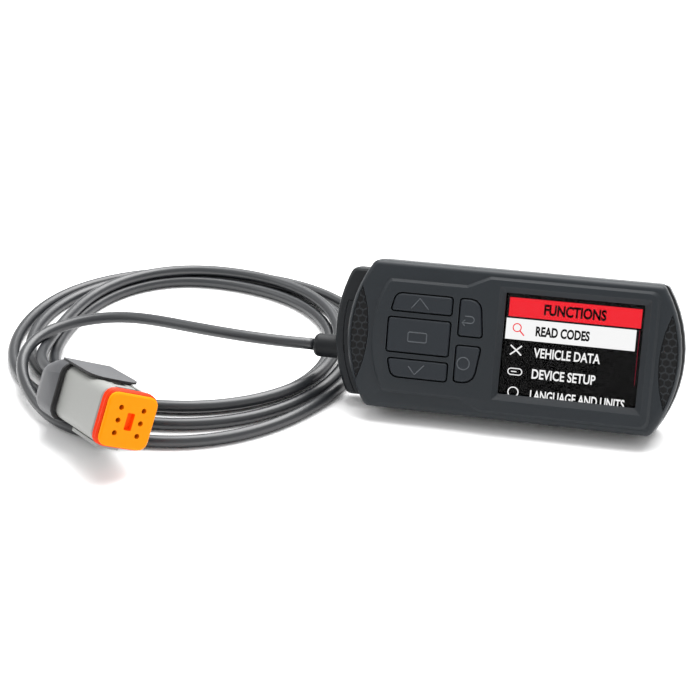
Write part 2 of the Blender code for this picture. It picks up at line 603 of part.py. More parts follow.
def smooth_route(points, step):
    """Points a step apart on the Catmull-Rom curve through the route's points."""
    route = [Vector(point) for point in points]
    route = [2 * route[0] - route[1], *route, 2 * route[-1] - route[-2]]
    fine = []
    for index in range(1, len(route) - 2):
        p0, p1, p2, p3 = route[index - 1:index + 3]
        for t in np.arange(0, 1, 0.05):
            fine.append(0.5 * (2 * p1 + (p2 - p0) * t + (2 * p0 - 5 * p1 + 4 * p2 - p3) * t * t
                               + (3 * p1 - 3 * p2 + p3 - p0) * t ** 3))
    fine.append(route[-2])
    kept = [fine[0]]
    for point in fine[1:-1]:
        if (point - kept[-1]).length >= step and (point - fine[-1]).length >= step / 2:
            kept.append(point)
    return [*kept, fine[-1]]


def cord_tube(name, route, material):
    """A round cord along a smooth route, with filled ends."""
    points = smooth_route(route, 2.5 * 2 * CORD_RADIUS)
    curve = bpy.data.curves.new(name, "CURVE")
    curve.dimensions = "3D"
    curve.bevel_depth = CORD_RADIUS
    curve.bevel_resolution = 2
    curve.use_fill_caps = True
    spline = curve.splines.new("POLY")
    spline.points.add(len(points) - 1)
    for spline_point, point in zip(spline.points, points):
        spline_point.co = (*point, 1)
    tube = bpy.data.objects.new(name, curve)
    bpy.context.collection.objects.link(tube)
    curve.materials.append(material)
    return tube


def build_coil(material, plug):
    """The loose coil's outer shape: a flat ring, relieved under the plug and beside the head."""
    rounding = 2.0 * MM
    profile = rounded_polygon([(COIL_INNER_RADIUS, 0), (COIL_OUTER_RADIUS, 0),
                               (COIL_OUTER_RADIUS, COIL_HEIGHT), (COIL_INNER_RADIUS, COIL_HEIGHT)],
                              [rounding] * 4, 2)
    body = bmesh.new()
    turns = 48
    rings = []
    for turn in range(turns):
        angle = 2 * math.pi * turn / turns
        rings.append([body.verts.new((r * math.cos(angle), r * math.sin(angle), z)) for r, z in profile])
    count = len(profile)
    for turn in range(turns):
        ring, after = rings[turn], rings[(turn + 1) % turns]
        for index in range(count):
            following = (index + 1) % count
            body.faces.new((ring[index], ring[following], after[following], after[index]))
    coil = make_object("cord_coil", finish_mesh("cord_coil", body), material, None, (*COIL_CENTRE, 0))
    margin = 0.8 * MM
    lever_room = HOUSING_SIZE / 2 + LATCH_STANDOFF["lower"] + LATCH_THICKNESS + 1.4 * MM
    boot_outline = square_outline(BOOT_SIZE[0] + margin, BOOT_SIZE[1] + margin, 5 * MM, steps=4)
    cut(coil, prism("boot_room", boot_outline, BOOT_X[0] - 2 * MM, 12 * MM, parent=plug, axis="x"))
    cut(coil, prism("lever_room", square_outline(2 * LATCH_HALF_WIDTH + 1 * MM, 2 * lever_room, 1 * MM),
                    LATCH_X[0] - 1 * MM, 12 * MM, parent=plug, axis="x"))
    cut(coil, prism("head_room", square_outline(40 * MM, 34 * MM, 1 * MM), -1 * MM, 20 * MM,
                    location=(-47.4 * MM, -10.6 * MM, 0)))


# Plug -------------------------------------------------------------------------------------------

def build_wedge_and_seal(plug, materials):
    """Orange wedge lock with its six pin holes and key slot, and the red face seal behind it."""
    plate = square_outline(WEDGE_SIZE, WEDGE_SIZE, 3.4 * MM, steps=4)
    softer = square_outline(WEDGE_SIZE - 1.2 * MM, WEDGE_SIZE - 1.2 * MM, 3.0 * MM, steps=4)
    stem_half = 8.0 * MM
    wedge = loft("wedge_lock", [(plate, -WEDGE_THICKNESS), (plate, -0.5 * MM), (softer, 0)],
                 materials["wedge"], plug, axis="x")
    fuse(wedge, prism("wedge_stem", square_outline(2 * stem_half, 2 * stem_half, 2.2 * MM, steps=4),
                      SEAL_X[0], -0.9 * MM, parent=plug, axis="x"))
    fuse(wedge, prism("wedge_tongue", square_outline(3.0 * MM, 9 * MM, 0.5 * MM, steps=1), -15 * MM,
                      -4.5 * MM, parent=plug, axis="x"))
    across, up = CAVITY_PITCH
    for column in (-1, 1):
        for row in (-1, 0, 1):
            cut(wedge, prism(f"pin_hole_{column}_{row}", disc_outline(
                1.0 * MM, (column * across / 2, row * up), 14), -8 * MM, 1 * MM, parent=plug, axis="x"))
    cut(wedge, prism("wedge_slot", square_outline(3.0 * MM, 6.4 * MM, 0.3 * MM, steps=1), -2.4 * MM, 1 * MM,
                     parent=plug, axis="x"))
    low, high = SEAL_X
    seal = loft("face_seal", [(square_outline(size, size, 4 * MM, steps=4), x) for size, x in (
        (20.2 * MM, low), (21.2 * MM, low + 0.7 * MM), (20.4 * MM, (low + high) / 2),
        (21.0 * MM, high - 0.7 * MM), (20.0 * MM, high))], materials["face_seal"], plug, axis="x")
    hole = 2 * (stem_half + GAP)
    cut(seal, prism("face_seal_hole", square_outline(hole, hole, 2.5 * MM, steps=4), low - 1 * MM,
                    high + 1 * MM, parent=plug, axis="x"))


def build_housing(plug, materials):
    """Grey housing with its wedge pocket, six contact bores and rear wire pocket."""
    low, high = HOUSING_X
    size = HOUSING_SIZE
    housing = loft("plug_housing", [(square_outline(width, width, 4 * MM, steps=4), x) for width, x in (
        (size, low), (size, high - 0.7 * MM), (size - 1.0 * MM, high))], materials["housing"], plug, axis="x")
    across, up = CAVITY_PITCH
    for column in (-1, 1):
        for row in (-1, 0, 1):
            cut(housing, prism(f"contact_bore_{column}_{row}", disc_outline(
                1.7 * MM, (column * across / 2, row * up), 12), low + 10 * MM, high + 1 * MM,
                parent=plug, axis="x"))
    cut(housing, prism("tongue_pocket", square_outline(3.8 * MM, 9.8 * MM, 0.5 * MM, steps=1), -16 * MM,
                       high + 1 * MM, parent=plug, axis="x"))
    cut(housing, prism("wire_pocket", square_outline(size - 6 * MM, size - 6 * MM, 2.5 * MM), low - 1 * MM,
                       low + 11 * MM, parent=plug, axis="x"))
    latch_room = 2 * (LATCH_HALF_WIDTH + 0.6 * MM)
    cut(housing, prism("latch_recess", square_outline(
        latch_room, 2 * LATCH_RECESS, 0.4 * MM, (0, size / 2), 1), LATCH_X[0] - 0.6 * MM, high + 1 * MM,
        parent=plug, axis="x"))


def build_contacts(plug, materials):
    """Four socket contacts and two blanking plugs in the housing's bores."""
    across, up = CAVITY_PITCH
    for index, (column, row) in enumerate(CONTACT_PLACES):
        place = (0, column * across / 2, row * up)
        contact = prism(f"contact_{index + 1}", disc_outline(1.2 * MM, sides=14), -24 * MM, -6.2 * MM,
                        materials["brass"], plug, place, axis="x")
        cut(contact, prism(f"contact_mouth_{index}", disc_outline(0.8 * MM, sides=10), -14 * MM, 0,
                           parent=plug, location=place, axis="x"))
    for index, (column, row) in enumerate(BLANK_PLACES):
        prism(f"blanking_plug_{index + 1}", disc_outline(1.3 * MM, sides=12), -24 * MM, -12 * MM,
              materials["chip"], plug, (0, column * across / 2, row * up), axis="x")


def build_boot(plug, materials):
    """Rear boot moulded on the lead, with a tongue that covers the upper latch."""
    low, high = BOOT_X
    across, up = BOOT_SIZE
    stations = (                                 # share of the size, share of the fall, radius, x
        (0.46, 0, 4.5 * MM, low), (0.66, 0.3, 5.0 * MM, low + 1.2 * MM), (0.84, 0.8, 5.0 * MM, low + 3.6 * MM),
        (0.95, 1, 5.0 * MM, low + 6.6 * MM), (1, 0.75, 5.0 * MM, low + 10 * MM),
        (1, 0, 5.0 * MM, high - 5.5 * MM), (1, 0, 5.0 * MM, high - 0.5 * MM), (0.98, 0, 5.0 * MM, high))
    boot = loft("rear_boot", [(square_outline(across * share, up * share - fall * BOOT_FALL, radius,
                                              (0, -fall * BOOT_FALL / 2), 4), x)
                              for share, fall, radius, x in stations], materials["rubber"], plug, axis="x")
    tongue_low, tongue_high = BOOT_TONGUE_Z
    half = BOOT_TONGUE_WIDTH / 2
    tongue_back = high - 6 * MM
    plan = rounded_polygon([(tongue_back, -half), (BOOT_TONGUE_END, -half), (BOOT_TONGUE_END, half),
                            (tongue_back, half)], [0.5 * MM, 6 * MM, 6 * MM, 0.5 * MM], 4)
    tongue = prism("boot_tongue", plan, tongue_low, tongue_high, parent=plug)
    web = prism("tongue_web", square_outline(BOOT_TONGUE_WIDTH - 1 * MM, 3 * MM, 0.4 * MM,
                                             (0, tongue_high - 1.6 * MM), 2),
                tongue_back + 0.5 * MM, high - 0.3 * MM, parent=plug, axis="x")
    fuse(boot, web)
    fuse(boot, tongue)
    pocket = HOUSING_SIZE + 2 * GAP
    cut(boot, prism("housing_pocket", square_outline(pocket, pocket, 4.2 * MM, steps=4),
                    HOUSING_X[0] - GAP, high + 1 * MM, parent=plug, axis="x"))
    cut(boot, prism("wire_channel", disc_outline(2.0 * MM, sides=12), low + 6 * MM, HOUSING_X[0] + 1 * MM,
                    parent=plug, axis="x"))
    return low


def build_latches(plug, materials):
    """Sprung latch levers above and below the housing; each turns about a pin line on its origin."""
    for side, label in ((1, "upper"), (-1, "lower")):
        stand = HOUSING_SIZE / 2 + LATCH_STANDOFF[label]
        hinge = (LATCH_HINGE_X, 0, side * (stand + LATCH_THICKNESS / 2))
        length = LATCH_X[1] - LATCH_X[0]
        middle = sum(LATCH_X) / 2 - LATCH_HINGE_X
        lever = prism(f"latch_{label}", square_outline(length, 2 * LATCH_HALF_WIDTH, 1.2 * MM, (middle, 0)),
                      -LATCH_THICKNESS / 2, LATCH_THICKNESS / 2, materials["housing"], plug, hinge)
        for start, end in ((-12.5 * MM, -6.5 * MM), (-2.5 * MM, 2.5 * MM)):
            cut(lever, prism(f"{label}_window_{round(start / MM)}", square_outline(
                end - start, 5.2 * MM, 0.6 * MM, ((start + end) / 2, 0), 2), -5 * MM, 5 * MM,
                parent=plug, location=hinge))


# Assembly ---------------------------------------------------------------------------------------

def stand_on_floor(pose):
    """Moves the leaning reader so that its lowest edge is at z = 0 and its middle over the origin."""
    bpy.context.view_layer.update()
    graph = bpy.context.evaluated_depsgraph_get()
    places = []
    for name in ("front_shell", "rear_shell", "key_select"):
        evaluated = bpy.data.objects[name].evaluated_get(graph)
        places += [evaluated.matrix_world @ vertex.co for vertex in evaluated.data.vertices]
    lowest = Vector([min(place[axis] for place in places) for axis in range(3)])
    highest = Vector([max(place[axis] for place in places) for axis in range(3)])
    middle = (lowest + highest) / 2
    pose.location -= Vector((middle.x, middle.y, lowest.z))
    bpy.context.view_layer.update()


def clear_scene():
    """Removes whatever the start-up scene holds."""
    for leftover in list(bpy.data.objects):
        bpy.data.objects.remove(leftover, do_unlink=True)


def make_empty(name, location=(0, 0, 0), rotation=(0, 0, 0)):
    """An empty that carries pieces."""
    empty = bpy.data.objects.new(name, None)
    empty.location = location
    empty.rotation_euler = Euler(rotation, "XYZ")
    bpy.context.collection.objects.link(empty)
    return empty


def main():
    """Builds the reader, its lead and its plug."""
    clear_scene()
    materials = {
        "shell": plastic("shell_plastic", (0.035, 0.04, 0.045), 0.5),
        "rear": plastic("rear_plastic", (0.025, 0.027, 0.03), 0.45),
        "key": plastic("key_rubber", (0.032, 0.037, 0.042), 0.6),
        "rubber": plastic("black_rubber", (0.012, 0.012, 0.012), 0.6),
        "moulding": plastic("head_moulding", (0.02, 0.021, 0.024), 0.6),
        "cord": plastic("cord_jacket", (0.03, 0.032, 0.036), 0.45),
        "glass": plastic("window_glass", (0.05, 0.05, 0.06), 0.05),
        "screen": plastic("screen_glass", (0.02, 0.02, 0.02), 0.2),
        "steel": plastic("spring_steel", (0.6, 0.6, 0.6), 0.3, 1.0),
        "ribbon": plastic("flat_cable", (0.5, 0.25, 0.05), 0.4),
        "board": plastic("board_laminate", (0.02, 0.12, 0.05), 0.5),
        "chip": plastic("black_resin", (0.02, 0.02, 0.02), 0.5),
        "seal": plastic("head_seal_rubber", (0.25, 0.05, 0.02), 0.6),
        "wedge": plastic("wedge_plastic", (1.0, 0.35, 0.0), 0.4),
        "face_seal": plastic("face_seal_rubber", (0.75, 0.08, 0.02), 0.5),
        "housing": plastic("housing_plastic", (0.41, 0.42, 0.4), 0.5),
        "brass": plastic("contact_brass", (0.7, 0.6, 0.4), 0.3, 1.0),
    }
    pose = make_empty("reader_pose", rotation=(math.pi / 2 - LEAN, 0, 0))
    build_front_shell(pose, materials["shell"])
    build_rear_shell(pose, materials["rear"])
    build_gasket(pose, materials["rubber"])
    build_display(pose, materials)
    build_keys(pose, materials)
    build_board(pose, materials)
    build_screws(pose, materials["steel"])
    stand_on_floor(pose)
    lead_exit = build_head(pose, materials)

    plug = make_empty("plug_pose", PLUG_PLACE, PLUG_TURN)
    bpy.context.view_layer.update()
    build_wedge_and_seal(plug, materials)
    build_housing(plug, materials)
    build_contacts(plug, materials)
    boot_end = build_boot(plug, materials)
    build_latches(plug, materials)

    cord_tube("cord_lead", [lead_exit, *in_mm(LEAD_ROUTE)], materials["cord"])
    tail_start = plug.matrix_world @ Vector((boot_end - GAP, 0, 0))
    cord_tube("cord_tail", [tail_start, *in_mm(TAIL_ROUTE)], materials["cord"])
    build_coil(materials["cord"], plug)


main()
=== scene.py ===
import json
import math

import bmesh
import bpy
import numpy as np
from mathutils import Euler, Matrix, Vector

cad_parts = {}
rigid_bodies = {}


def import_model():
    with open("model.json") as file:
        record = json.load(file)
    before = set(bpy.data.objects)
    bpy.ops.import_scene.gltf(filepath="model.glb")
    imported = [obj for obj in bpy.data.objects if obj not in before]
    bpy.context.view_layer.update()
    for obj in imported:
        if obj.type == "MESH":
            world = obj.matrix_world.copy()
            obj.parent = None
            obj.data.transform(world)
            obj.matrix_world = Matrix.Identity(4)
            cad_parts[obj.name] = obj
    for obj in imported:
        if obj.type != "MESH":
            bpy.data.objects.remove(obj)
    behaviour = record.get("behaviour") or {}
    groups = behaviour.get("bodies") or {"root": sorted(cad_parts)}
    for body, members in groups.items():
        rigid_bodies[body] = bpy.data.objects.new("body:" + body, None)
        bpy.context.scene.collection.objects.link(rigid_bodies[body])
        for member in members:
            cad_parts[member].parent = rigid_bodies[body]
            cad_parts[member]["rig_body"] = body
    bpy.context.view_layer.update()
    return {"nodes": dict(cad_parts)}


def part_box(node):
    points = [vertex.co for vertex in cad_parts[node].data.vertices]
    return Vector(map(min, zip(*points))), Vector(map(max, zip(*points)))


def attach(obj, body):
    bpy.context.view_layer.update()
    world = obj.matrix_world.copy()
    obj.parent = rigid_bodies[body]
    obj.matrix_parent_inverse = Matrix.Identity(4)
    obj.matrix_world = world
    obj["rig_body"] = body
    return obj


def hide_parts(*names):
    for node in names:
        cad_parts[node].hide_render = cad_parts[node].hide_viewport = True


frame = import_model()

# Studio ------------------------------------------------------------------------------------------
# A pale table under a large soft box that hangs behind and above the reader, with a weak white room
# around it, so the shadows fall forwards and stay soft.
MM = 0.001


def linear(red, green, blue):
    """A screen colour, 0 to 255 a channel, as the linear colour that the shaders take."""
    values = np.array([red, green, blue]) / 255.0
    lit = np.where(values <= 0.04045, values / 12.92, ((values + 0.055) / 1.055) ** 2.4)
    return (*lit.tolist(), 1.0)


def mesh_piece(name, points, faces, smooth=True):
    """A new mesh object from an array of points and a list or an array of faces."""
    mesh = bpy.data.meshes.new(name)
    mesh.from_pydata(np.asarray(points).reshape(-1, 3).tolist(), [], [list(f) for f in faces])
    mesh.update()
    mesh.shade_smooth() if smooth else mesh.shade_flat()
    piece = bpy.data.objects.new(name, mesh)
    bpy.context.scene.collection.objects.link(piece)
    return piece


def grid_faces(rows, columns, close_rows=False, close_columns=False):
    """Quads over a grid of points held row by row; either direction can close on itself."""
    i, j = np.meshgrid(np.arange(rows - (not close_rows)), np.arange(columns - (not close_columns)),
                       indexing="ij")
    ahead, beside = (i + 1) % rows, (j + 1) % columns
    quads = np.stack([i * columns + j, ahead * columns + j, ahead * columns + beside,
                      i * columns + beside], -1)
    return quads.reshape(-1, 4)


table_half = 3.0
table_x, table_y = np.meshgrid(np.linspace(-table_half, table_half, 9),
                               np.linspace(-table_half, table_half, 9), indexing="ij")
table = mesh_piece("table_top", np.stack([table_x, table_y, np.zeros_like(table_x)], -1),
                   grid_faces(9, 9))
table_finish = bpy.data.materials.new("pale table")
table_finish.use_nodes = True
table_shader = table_finish.node_tree.nodes["Principled BSDF"]
table_shader.inputs["Base Color"].default_value = linear(250, 250, 250)
table_shader.inputs["Roughness"].default_value = 0.6
table_shader.inputs["Specular IOR Level"].default_value = 0.2
table.data.materials.append(table_finish)

scene = bpy.context.scene
scene.view_settings.view_transform = "Standard"
scene.world = bpy.data.worlds.new("white room")
scene.world.use_nodes = True
room_light = scene.world.node_tree.nodes["Background"]
room_light.inputs["Color"].default_value = linear(255, 255, 255)
room_light.inputs["Strength"].default_value = 0.82

aim = Vector((-60, -18, 29)) * MM
SOFT_BOXES = {"main": ((0.05, 0.55, 1.15), 1.3, 40), "side": ((-1.1, -0.2, 0.8), 0.7, 3.0)}
for label, (place, size, watts) in SOFT_BOXES.items():
    lamp = bpy.data.lights.new(f"{label}_soft_box", "AREA")
    lamp.size = size
    lamp.energy = watts
    lamp_object = bpy.data.objects.new(f"{label}_soft_box", lamp)
    lamp_object.location = place
    lamp_object.rotation_euler = (aim - Vector(place)).to_track_quat("-Z", "Y").to_euler()
    scene.collection.objects.link(lamp_object)

view_height, view_turn, view_distance = math.radians(27), math.radians(12.91), 0.564
back = Vector((math.sin(view_turn) * math.cos(view_height), -math.cos(view_turn) * math.cos(view_height),
               math.sin(view_height)))
lens = bpy.data.cameras.new("camera")
lens.sensor_width = 36
lens.lens = 77.14
lens.clip_start = 0.01
camera = bpy.data.objects.new("camera", lens)
camera.location = aim + back * view_distance
camera.rotation_euler = (math.pi / 2 - view_height, 0, view_turn)
scene.collection.objects.link(camera)
scene.camera = camera


# Lead --------------------------------------------------------------------------------------------
# One round cable in a soft black jacket, extruded over its wires. It leaves the moulded head through
# the strain relief, lies in four loose turns and rises into the back of the plug.
CORD_DIAMETER = 4.7 * MM
LEAD_OUT = (
    (-79.05, 1.94, 19.51), (-84, 1.8, 19.6), (-90, 1.5, 19.6), (-104, 2.6, 19.4), (-120, 5.6, 18.8),
    (-136, 10, 17.6), (-152, 14.6, 16.4), (-168, 16.2, 15), (-180, 13.2, 13.6), (-189.6, 5.4, 12.4),
    (-194.7, -3.7, 11.2), (-195.4, -12.8, 10), (-192, -23.7, 8.6), (-185.5, -34, 7), (-179, -41.6, 5.6),
    (-172, -47.6, 4), (-161, -53, 2.6))
TURNS = (                                        # each turn's front, right, back and left, in mm
    ((-135, -56.5, 2.4), (-65.5, 30, 2.4), (-140, 95, 2.4), (-213, 33, 2.4)),
    ((-138, -43.5, 2.4), (-71, 25, 2.4), (-145, 90.2, 2.4), (-207, 33, 2.4)),
    ((-140, -31, 2.4), (-79.5, 22, 2.4), (-150, 85, 2.4), (-193, 30, 2.4)),
    ((-140, -37.5, 6.6), (-75.5, 18, 6.6), (-145, 88, 6.8), (-193.5, 34, 7)))
LEAD_IN = ((-192.6, 6, 7.4), (-188.5, -12, 9.6), (-181, -26.6, 12.3), (-176, -32, 13.2),
           (-171, -36.6, 14.0), (-168.35, -39.03, 14.17))


def loose_turns(turns, steps=6, squareness=2.15):
    """Points round each turn: a quarter of a rounded ellipse from one extreme to the next.

    Along a quarter, one direction goes as sin(a)^(2/squareness) and the other as
    1 - cos(a)^(2/squareness), with a from 0 to a right angle.
    """
    ends = np.array(turns, float).reshape(-1, 3)
    angle = np.linspace(0, math.pi / 2, steps, endpoint=False)
    quick, slow = np.sin(angle) ** (2 / squareness), 1 - np.cos(angle) ** (2 / squareness)
    rise = angle / angle[-1] * (steps - 1) / steps
    share = np.stack([np.stack([quick, slow, rise], -1), np.stack([slow, quick, rise], -1)])
    which = np.arange(len(ends) - 1) % 2
    start, end = ends[:-1, None, :], ends[1:, None, :]
    return np.vstack([(start + (end - start) * share[which]).reshape(-1, 3), ends[-1:]])


def smooth_line(points, spacing):
    """A smooth curve through the points, cut into equal steps: cubics whose slope at each point is the
    mean of the chords beside it, with the square root of each chord as its length of parameter."""
    p = np.asarray(points, float)
    knot = np.r_[0, np.cumsum(np.sqrt(np.linalg.norm(np.diff(p, axis=0), axis=1)))]
    chord = np.diff(p, axis=0) / np.diff(knot)[:, None]
    wide = (p[2:] - p[:-2]) / (knot[2:] - knot[:-2])[:, None]
    slope = np.vstack([chord[:1], chord[:-1] + chord[1:] - wide, chord[-1:]])
    samples_per_point = 48
    u = np.linspace(0, knot[-1], samples_per_point * len(p))
    i = np.clip(np.searchsorted(knot, u, side="right") - 1, 0, len(p) - 2)
    h = np.diff(knot)[i][:, None]
    t = (u - knot[i])[:, None] / h
    line = ((2 * t**3 - 3 * t**2 + 1) * p[i] + (t**3 - 2 * t**2 + t) * h * slope[i]
            + (3 * t**2 - 2 * t**3) * p[i + 1] + (t**3 - t**2) * h * slope[i + 1])
    along = np.r_[0, np.cumsum(np.linalg.norm(np.diff(line, axis=0), axis=1))]
    even = np.linspace(0, along[-1], int(round(along[-1] / spacing)) + 1)
    return np.stack([np.interp(even, along, line[:, k]) for k in range(3)], -1)


def settle(line, diameter, spacing, rounds=300):
    """Lets a cord find room for itself: stretches that cross push each other apart to one diameter,
    the cord's stiffness evens out what that bends, and nothing sinks into the table."""
    line = line.copy()
    index = np.arange(len(line))
    apart = np.abs(index[:, None] - index) * spacing > 4 * diameter
    push_share, bend_share = 0.3, 0.35
    free = slice(3, -3)
    for _ in range(rounds):
        offset = line[:, None] - line
        distance = np.linalg.norm(offset, axis=2) + 1e-9
        push = np.where(apart & (distance < diameter), push_share * (diameter - distance) / distance, 0)
        moved = line + (push[:, :, None] * offset).sum(1)
        bend = np.zeros_like(line)
        bend[1:-1] = (line[:-2] + line[2:]) / 2 - line[1:-1]
        moved[2:-2] += bend_share * (bend[2:-2] - (bend[1:-3] + bend[3:-1]) / 2)
        line[free] = moved[free]
        line[:, 2] = np.maximum(line[:, 2], diameter / 2)
    return line


def side_directions(line, closed=False):
    """Two unit directions across a path at each of its points: one level, one at right angles to it."""
    forward = np.roll(line, -1, 0) - np.roll(line, 1, 0) if closed else np.gradient(line, axis=0)
    forward /= np.linalg.norm(forward, axis=1)[:, None]
    level = np.cross(forward, (0, 0, 1.0))
    level /= np.linalg.norm(level, axis=1)[:, None]
    return level, np.cross(level, forward)


def tube(name, line, radius, sides=16, closed=False):
    """A round tube: point (i, j) lies at the path's point i plus the radius times (cos a, sin a) in the
    directions across it, a = 2 pi j / sides. An open tube gets end caps and a UV map that holds metres
    along and round it; a closed one gets neither."""
    level, upright = side_directions(line, closed)
    angle = 2 * math.pi * np.arange(sides) / sides
    ring = np.cos(angle)[:, None] * level[:, None, :] + np.sin(angle)[:, None] * upright[:, None, :]
    points = (line[:, None, :] + radius * ring).reshape(-1, 3)
    rows = len(line)
    if closed:
        return mesh_piece(name, points, grid_faces(rows, sides, close_rows=True, close_columns=True))
    points = np.vstack([points, line[:1], line[-1:]])
    side_faces = grid_faces(rows, sides, close_columns=True)
    j = np.arange(sides)
    first, last = rows * sides, rows * sides + 1
    start_cap = np.stack([np.full(sides, first), j, (j + 1) % sides], -1)
    end_cap = np.stack([np.full(sides, last), (rows - 1) * sides + (j + 1) % sides,
                        (rows - 1) * sides + j], -1)
    piece = mesh_piece(name, points, side_faces.tolist() + start_cap.tolist() + end_cap.tolist())
    along = np.r_[0, np.cumsum(np.linalg.norm(np.diff(line, axis=0), axis=1))]
    i, j = np.divmod(side_faces, sides)
    around = np.where((j == 0) & (side_faces % sides != side_faces[:, :1] % sides), sides, j)
    uv = np.zeros((len(piece.data.loops), 2), np.float32)
    uv[:side_faces.size, 0] = along[i].ravel()
    uv[:side_faces.size, 1] = (around * 2 * math.pi * radius / sides).ravel()
    piece.data.uv_layers.new(name="along").data.foreach_set("uv", uv.ravel())
    return piece


cord_step = 3 * MM
cord_points = np.vstack([np.array(LEAD_OUT), loose_turns(TURNS), np.array(LEAD_IN)]) * MM
cord_line = settle(smooth_line(cord_points, cord_step), CORD_DIAMETER, cord_step)
cord = tube("lead_cord", cord_line, CORD_DIAMETER / 2)


def shader_nodes(name):
    """A new material, its nodes, its Principled shader and a function that links two sockets."""
    material = bpy.data.materials.new(name)
    material.use_nodes = True
    tree = material.node_tree
    return material, tree.nodes, tree.nodes["Principled BSDF"], tree.links.new


def mixed(nodes, join, share, first, second):
    """A colour between two, by a share from 0 to 1. Each of the two is a colour or a socket."""
    mix = nodes.new("ShaderNodeMix")
    mix.data_type = "RGBA"
    join(share, mix.inputs["Factor"])
    for label, colour in (("A", first), ("B", second)):
        if isinstance(colour, tuple):
            mix.inputs[label].default_value = colour
        else:
            join(colour, mix.inputs[label])
    return mix.outputs["Result"]


def spread(nodes, join, share, low, high):
    """A value between two, by a share from 0 to 1."""
    scale = nodes.new("ShaderNodeMapRange")
    scale.inputs["To Min"].default_value = low
    scale.inputs["To Max"].default_value = high
    join(share, scale.inputs["Value"])
    return scale.outputs["Result"]


def raised(nodes, join, height, depth):
    """A normal that makes a height look raised by a depth in metres."""
    bump = nodes.new("ShaderNodeBump")
    bump.inputs["Distance"].default_value = depth
    join(height, bump.inputs["Height"])
    return bump.outputs["Normal"]


def new_group(name, inputs, outputs):
    """An empty shader node group with number sockets, and its two end nodes."""
    group = bpy.data.node_groups.new(name, "ShaderNodeTree")
    for label, value in inputs:
        socket = group.interface.new_socket(label, in_out="INPUT", socket_type="NodeSocketFloat")
        socket.default_value = value
    for label in outputs:
        group.interface.new_socket(label, in_out="OUTPUT", socket_type="NodeSocketFloat")
    return group, group.nodes.new("NodeGroupInput"), group.nodes.new("NodeGroupOutput")


GLOSS_DRIFT = 0.06                               # how far the roughness moves each way over a piece

# Moulded grain: a fine even texture for the bump, and a slow cloudy tone for colour and gloss.
grain_group, grain_in, grain_out = new_group(
    "moulded grain", [("Fineness", 3000.0), ("Cloud size", 40.0)], ["Height", "Tone"])
place = grain_group.nodes.new("ShaderNodeTexCoord")
fine = grain_group.nodes.new("ShaderNodeTexNoise")
fine.inputs["Detail"].default_value = 3
cloud = grain_group.nodes.new("ShaderNodeTexNoise")
cloud.inputs["Detail"].default_value = 4
join = grain_group.links.new
join(place.outputs["Object"], fine.inputs["Vector"])
join(place.outputs["Object"], cloud.inputs["Vector"])
join(grain_in.outputs["Fineness"], fine.inputs["Scale"])
join(grain_in.outputs["Cloud size"], cloud.inputs["Scale"])
join(fine.outputs["Fac"], grain_out.inputs["Height"])
join(cloud.outputs["Fac"], grain_out.inputs["Tone"])

# Edge wear and painted highlight: how far the surface turns within the given radius, broken up by the
# tone. The edges it finds are painted paler, partly wear and partly a painted highlight.
wear_and_highlight_group, wear_and_highlight_in, wear_and_highlight_out = new_group(
    "edge wear and painted highlight", [("Radius", 0.4 * MM), ("Gain", 3.0), ("Breakup", 1.0)], ["Mask"])
join = wear_and_highlight_group.links.new
rounded = wear_and_highlight_group.nodes.new("ShaderNodeBevel")
rounded.samples = 6
flat_normal = wear_and_highlight_group.nodes.new("ShaderNodeNewGeometry")
facing = wear_and_highlight_group.nodes.new("ShaderNodeVectorMath")
facing.operation = "DOT_PRODUCT"
turned = wear_and_highlight_group.nodes.new("ShaderNodeMath")
turned.operation = "SUBTRACT"
turned.inputs[0].default_value = 1
gained = wear_and_highlight_group.nodes.new("ShaderNodeMath")
gained.operation = "MULTIPLY"
broken = wear_and_highlight_group.nodes.new("ShaderNodeMath")
broken.operation = "MULTIPLY"
broken.use_clamp = True
join(wear_and_highlight_in.outputs["Radius"], rounded.inputs["Radius"])
join(rounded.outputs["Normal"], facing.inputs[0])
join(flat_normal.outputs["Normal"], facing.inputs[1])
join(facing.outputs["Value"], turned.inputs[1])
join(turned.outputs[0], gained.inputs[0])
join(wear_and_highlight_in.outputs["Gain"], gained.inputs[1])
join(gained.outputs[0], broken.inputs[0])
join(wear_and_highlight_in.outputs["Breakup"], broken.inputs[1])
join(broken.outputs[0], wear_and_highlight_out.inputs["Mask"])


def moulded(name, dark, light, worn_and_lit, roughness, fineness=3000, depth=0.05, cloud=40, gain=3.0,
            radius=0.4 * MM, specular=0.5):
    """Moulded plastic or rubber: its colour drifts between dark and light with the cloud tone, its edges
    turn to the paler worn_and_lit colour, partly wear and partly a painted highlight, the gloss follows
    the tone, and the fine grain is a bump, depth in mm."""
    material, nodes, shader, join = shader_nodes(name)
    grain = nodes.new("ShaderNodeGroup")
    grain.node_tree = grain_group
    grain.inputs["Fineness"].default_value = fineness
    grain.inputs["Cloud size"].default_value = cloud
    tone = grain.outputs["Tone"]
    wear_and_highlight = nodes.new("ShaderNodeGroup")
    wear_and_highlight.node_tree = wear_and_highlight_group
    wear_and_highlight.inputs["Radius"].default_value = radius
    wear_and_highlight.inputs["Gain"].default_value = gain
    join(tone, wear_and_highlight.inputs["Breakup"])
    drift = mixed(nodes, join, tone, linear(*dark), linear(*light))
    # Edges turn paler: partly wear, partly a painted highlight.
    join(mixed(nodes, join, wear_and_highlight.outputs["Mask"], drift, linear(*worn_and_lit)), shader.inputs["Base Color"])
    gloss = spread(nodes, join, tone, roughness - GLOSS_DRIFT, roughness + GLOSS_DRIFT)
    join(gloss, shader.inputs["Roughness"])
    join(raised(nodes, join, grain.outputs["Height"], depth * MM), shader.inputs["Normal"])
    shader.inputs["Specular IOR Level"].default_value = specular
    return material


cord.data.materials.append(moulded("cord jacket", (23, 25, 28), (31, 34, 38),
                                   (60, 62, 66), 0.38, fineness=1500, depth=0.02, cloud=60, gain=0,
                                   specular=0.75))
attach(cord, "lead")
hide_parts("cord_lead", "cord_coil", "cord_tail")
